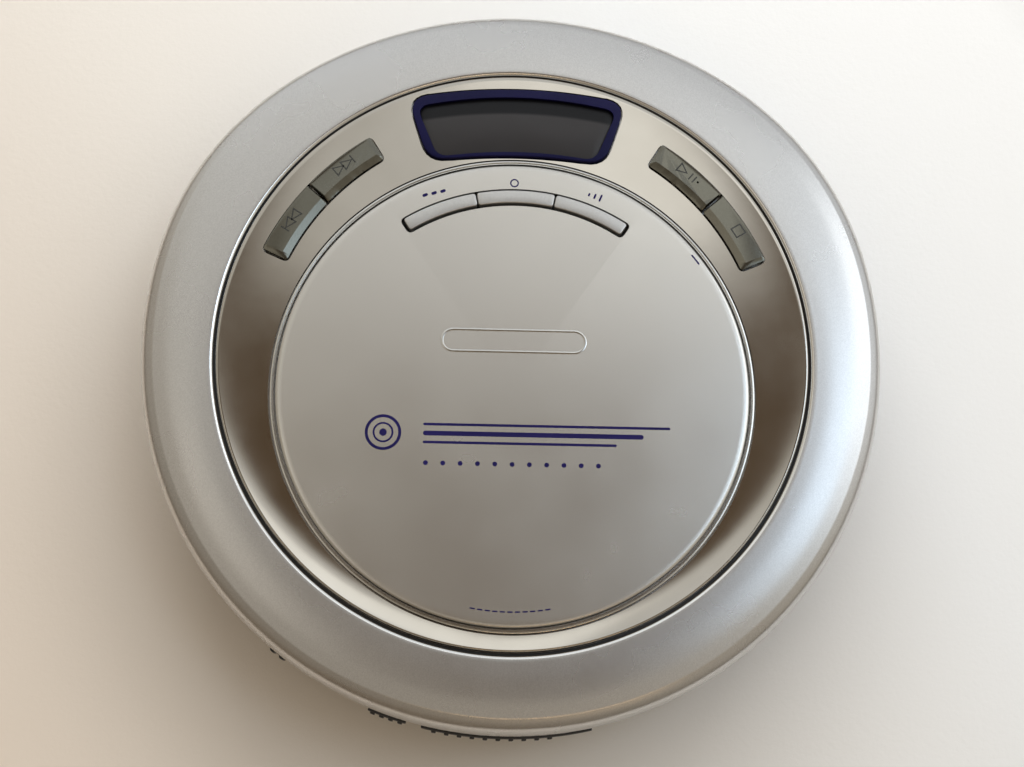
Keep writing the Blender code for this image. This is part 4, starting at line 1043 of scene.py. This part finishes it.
def make_deck():
    """The disc well: a sunk floor with a rolled rim, and openings for the hub and the pickup."""
    rim = 0.5 + WALL + GAP
    rows = edges((rim + 1.3, DECK_TOP - DECK_T), (rim, CASE_TOP - 1.6), (rim, 19.25), (rim + 0.15, CASE_TOP))
    rows += rounds((WELL_R + 0.25, CASE_TOP), (WELL_R, 19.28))
    rows += rounds((WELL_R - 0.35, 18.3), (WELL_R - 0.7, DECK_TOP))
    openings = [
        block((-NOTCH_X, NOTCH_X), (NOTCH_Y, 75), (NOTCH_Z, 25)),
        drum(PLATTER_R + 1.5, 15, 20, 128),
        prism(softened(oblong((10, WELL_R - 1.2), (-7, 7)), 2.2), 15, 19),
        block((-3.6, 3.6), (-69, -63.4), (15, 21)),
        edge_band(-3, 7, OPEN_AT - 4.4, OPEN_AT + 8.2, 15.6, 18.7),
        edge_band(-3, 7, HOLD_AT - 3.5, HOLD_AT + 3.5, 15.6, 18.7),
        block((SWITCH[0] - 1.6, SWITCH[0] + 1.6), (SWITCH[1] - 1.6, SWITCH[1] + 1.6), (15, 21)),
        # Two shallow ring grooves round the hub, and a finger dip on each side.
        hoop(47.4, 48.0, 17.75, 18.5, 256),
        hoop(18.2, 19.0, 17.7, 18.5, 128),
    ]
    dip = [(0, 17.55), (5.2, 17.6), (6.6, 18.2), (0, 18.2)]
    openings += [turned(dip, 64, (side * 34, -31)) for side in (-1, 1)]
    deck = skin(rows, capped=True)
    piece("deck_surface", deck, INNER, "base", "deck", openings)


def make_turntable():
    """The platter with its rubber ring, the hub, three chucking balls and the spindle's tip."""
    platter = [(0, 8.2), (0.9, 8.2), (0.9, 14.4), (4.0, 14.4), (4.0, 18.5), (PLATTER_R - 0.6, 18.5)]
    platter += [(PLATTER_R - 0.1, 18.65), (PLATTER_R, 18.9), (PLATTER_R, 19.15), (PLATTER_R - 0.15, 19.3)]
    hub = [(HUB_R + 0.5, 19.3), (HUB_R, DISC_Z), (HUB_R, 20.45), (HUB_R - 0.25, 20.8), (HUB_R - 1.2, 21.35)]
    hub += [(HUB_R - 1.9, HUB_TOP), (2.2, HUB_TOP), (1.9, 21.2), (0, 21.2)]
    turns = [90 + 120 * i for i in range(3)]
    slots = [prism(pill(*polar(4.9, turn), 5.2, 1.9, turn), 20.9, 22) for turn in turns]
    whole = turned(platter + hub, 192)
    piece("turntable_platter", whole, CONTROL, "turntable", "turntable", slots)
    piece("turntable_pad", hoop(8.6, 13.3, 19.29, 19.42, 128), RUBBER, "turntable")
    for i, turn in enumerate(turns, 1):
        ball = bmesh.new()
        place = Matrix.Translation((*polar(HUB_R - 0.45, turn), 20.3))
        bmesh.ops.create_uvsphere(ball, u_segments=32, v_segments=16, radius=0.9, matrix=place)
        piece(f"chucking_ball_{i}", ball, STEEL, "turntable")
    tip = [(0, 21.15), (1.1, 21.15), (1.1, 21.38), (0.8, 21.45), (0, 21.45)]
    piece("spindle_tip", turned(tip, 48), STEEL, "turntable")


def make_pickup():
    """The sled with its lens cover, two adjusting screws and the domed objective lens."""
    low, high = LENS_X - 5.5, LENS_X + 5.5
    sled = bevelled(block((low, high), (-13.6, 15.6), (8.3, 13.6)), 0.3, 2)
    cover = softened(oblong((LENS_X - 5, LENS_X + 5), (-5.6, 5.6)), 1.6)
    tower = bevelled(prism(cover, 13.0, 16.2), 0.2, 2)
    bores = [
        along_x(ROD_R + GAP, low - 1, high + 1, ROD_Y, DRIVE_Z),
        along_x(SCREW_R + GAP, low - 1, high + 1, SCREW_Y, DRIVE_Z),
    ]
    piece("pickup_sled_body", sled, BLACK, "pickup", "pickup_sled", bores)
    piece("pickup_tower", tower, BLACK, "pickup", tools=[drum(LENS_R + GAP, 14.6, 18, 64, (LENS_X, 0))])
    dome = [(0, 15.0), (LENS_R, 15.0), (LENS_R, 16.6), (2.85, 16.8), (2.3, 16.85), (2.2, 16.95), (1.8, 17.2)]
    dome += [(1.2, 17.38), (0.6, 17.47), (0, 17.5)]
    piece("objective_lens_dome", turned(dome, 96, (LENS_X, 0)), LENS, "pickup", "objective_lens")
    head = [(0, 13.5), (1.0, 13.5), (1.0, 13.9), (0.85, 14.0), (0, 14.0)]
    for name, y in (("front", -9.0), ("rear", 9.6)):
        screw = turned(head, 32, (LENS_X + 2.6, y))
        slit = block((LENS_X + 1.4, LENS_X + 3.8), (y - 0.12, y + 0.12), (13.8, 14.5))
        piece(f"pickup_screw_{name}", screw, BRASS, "pickup", tools=[slit])


# ---- the inside of the lid ----
def make_lid_cover():
    """The lid's inner skin with two sunk rings and six sunk spokes, and the felt ring over the hub."""
    rows = edges((2.1, COVER_LOW + COVER_T), (2.1, COVER_LOW + 0.2), (2.3, COVER_LOW))
    rows += rounds((8, COVER_LOW))
    notch = block((-30, 30), (62.2, 75), (20, 25))
    grooves = [hoop(60.2, 61.0, 22.2, 22.95, 256), hoop(23.5, 24.1, 22.2, 22.9, 160)]
    for turn in range(30, 360, 60):
        grooves.append(prism(pill(*polar(41, turn), 24, 1.0, turn), 22.2, 22.85))
    cover = skin(rows, capped=True)
    piece("lid_cover_skin", cover, INNER, "lid", "lid_cover", [notch] + grooves)
    low, high = COVER_LOW - 1.2, COVER_LOW - 0.02
    pad = [(8.5, low + 0.25), (8.75, low), (11.75, low), (12.0, low + 0.25), (12.0, high), (8.5, high)]
    piece("disc_stop_felt", turned(pad, 128, closed=True), FELT, "lid", "disc_stop_ring")


def make_latch_hook():
    shank = bevelled(block((-2.4, 2.4), (-66.2, -64.8), (17.4, COVER_LOW - 0.02)), 0.15, 2)
    profile = [(-67.0, 16.8), (-64.8, 16.8), (-64.8, 17.8), (-66.2, 17.8), (-67.0, 17.3)]
    nose = bevelled(prism(profile, -2.4, 2.4), 0.12, 2)
    for vert in nose.verts:
        across, up, along = vert.co
        vert.co = (along, across, up)
    piece("latch_hook_body", merged(shank, nose), CONTROL, "lid", "latch_hook")


def make_lid_lugs():
    make_hinge_lugs("lid", LID_LUG, (HINGE_Y, 68.6), (LID_LOW + 0.2, HINGE_Z + LUG_R - 0.2), 0.12, SILVER)


def make_battery_door():
    """The battery door: a ribbed finger grip, a sunk frame line and its hinge barrel."""
    size = (-BAY_X - 1.2, BAY_X + 1.2), (BAY_FRONT - 0.3, DOOR_Y - 1.7), (CASE_Z, DOOR_TOP)
    plate = bevelled(block(*size), 0.22, 2)
    grooves = [prism(pill(0, BAY_FRONT + 3.3 + 1.7 * i, 13, 0.9), 0, CASE_Z + 0.4) for i in range(4)]
    grooves.append(ribbon(softened(oblong((-22, 22), (-51, -32)), 2.0), 0.5, 0, CASE_Z + 0.25))
    piece("battery_door_plate", plate, CASE, "battery_door", "battery_door", grooves)
    tab = bevelled(block((-12, 12), (DOOR_Y - 2.2, DOOR_Y), (CASE_Z, DOOR_TOP)), 0.1, 2)
    piece("battery_door_tab", tab, CASE, "battery_door")
    barrel = bevelled(along_x(0.85, -12, 12, DOOR_Y, DOOR_Z), 0.08, 2, 60)
    piece("battery_door_barrel", barrel, CASE, "battery_door")


def finish_cad_nodes():
    """Gives every CAD node that still shows the finish of its slot."""
    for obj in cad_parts.values():
        for slot in obj.material_slots:
            slot.material = FINISHES.get(slot_name(slot.material), CASE)


def main():
    make_camera()
    make_floor()
    make_light()
    make_lid_shell()
    make_ring()
    make_bezel()
    make_panel()
    make_display()
    make_keys()
    make_buttons()
    make_marks()
    make_case()
    make_feet_and_screws()
    make_slides()
    make_wheel()
    make_sockets()
    make_deck()
    make_turntable()
    make_pickup()
    make_lid_cover()
    make_latch_hook()
    make_lid_lugs()
    make_battery_door()
    finish_cad_nodes()


main()
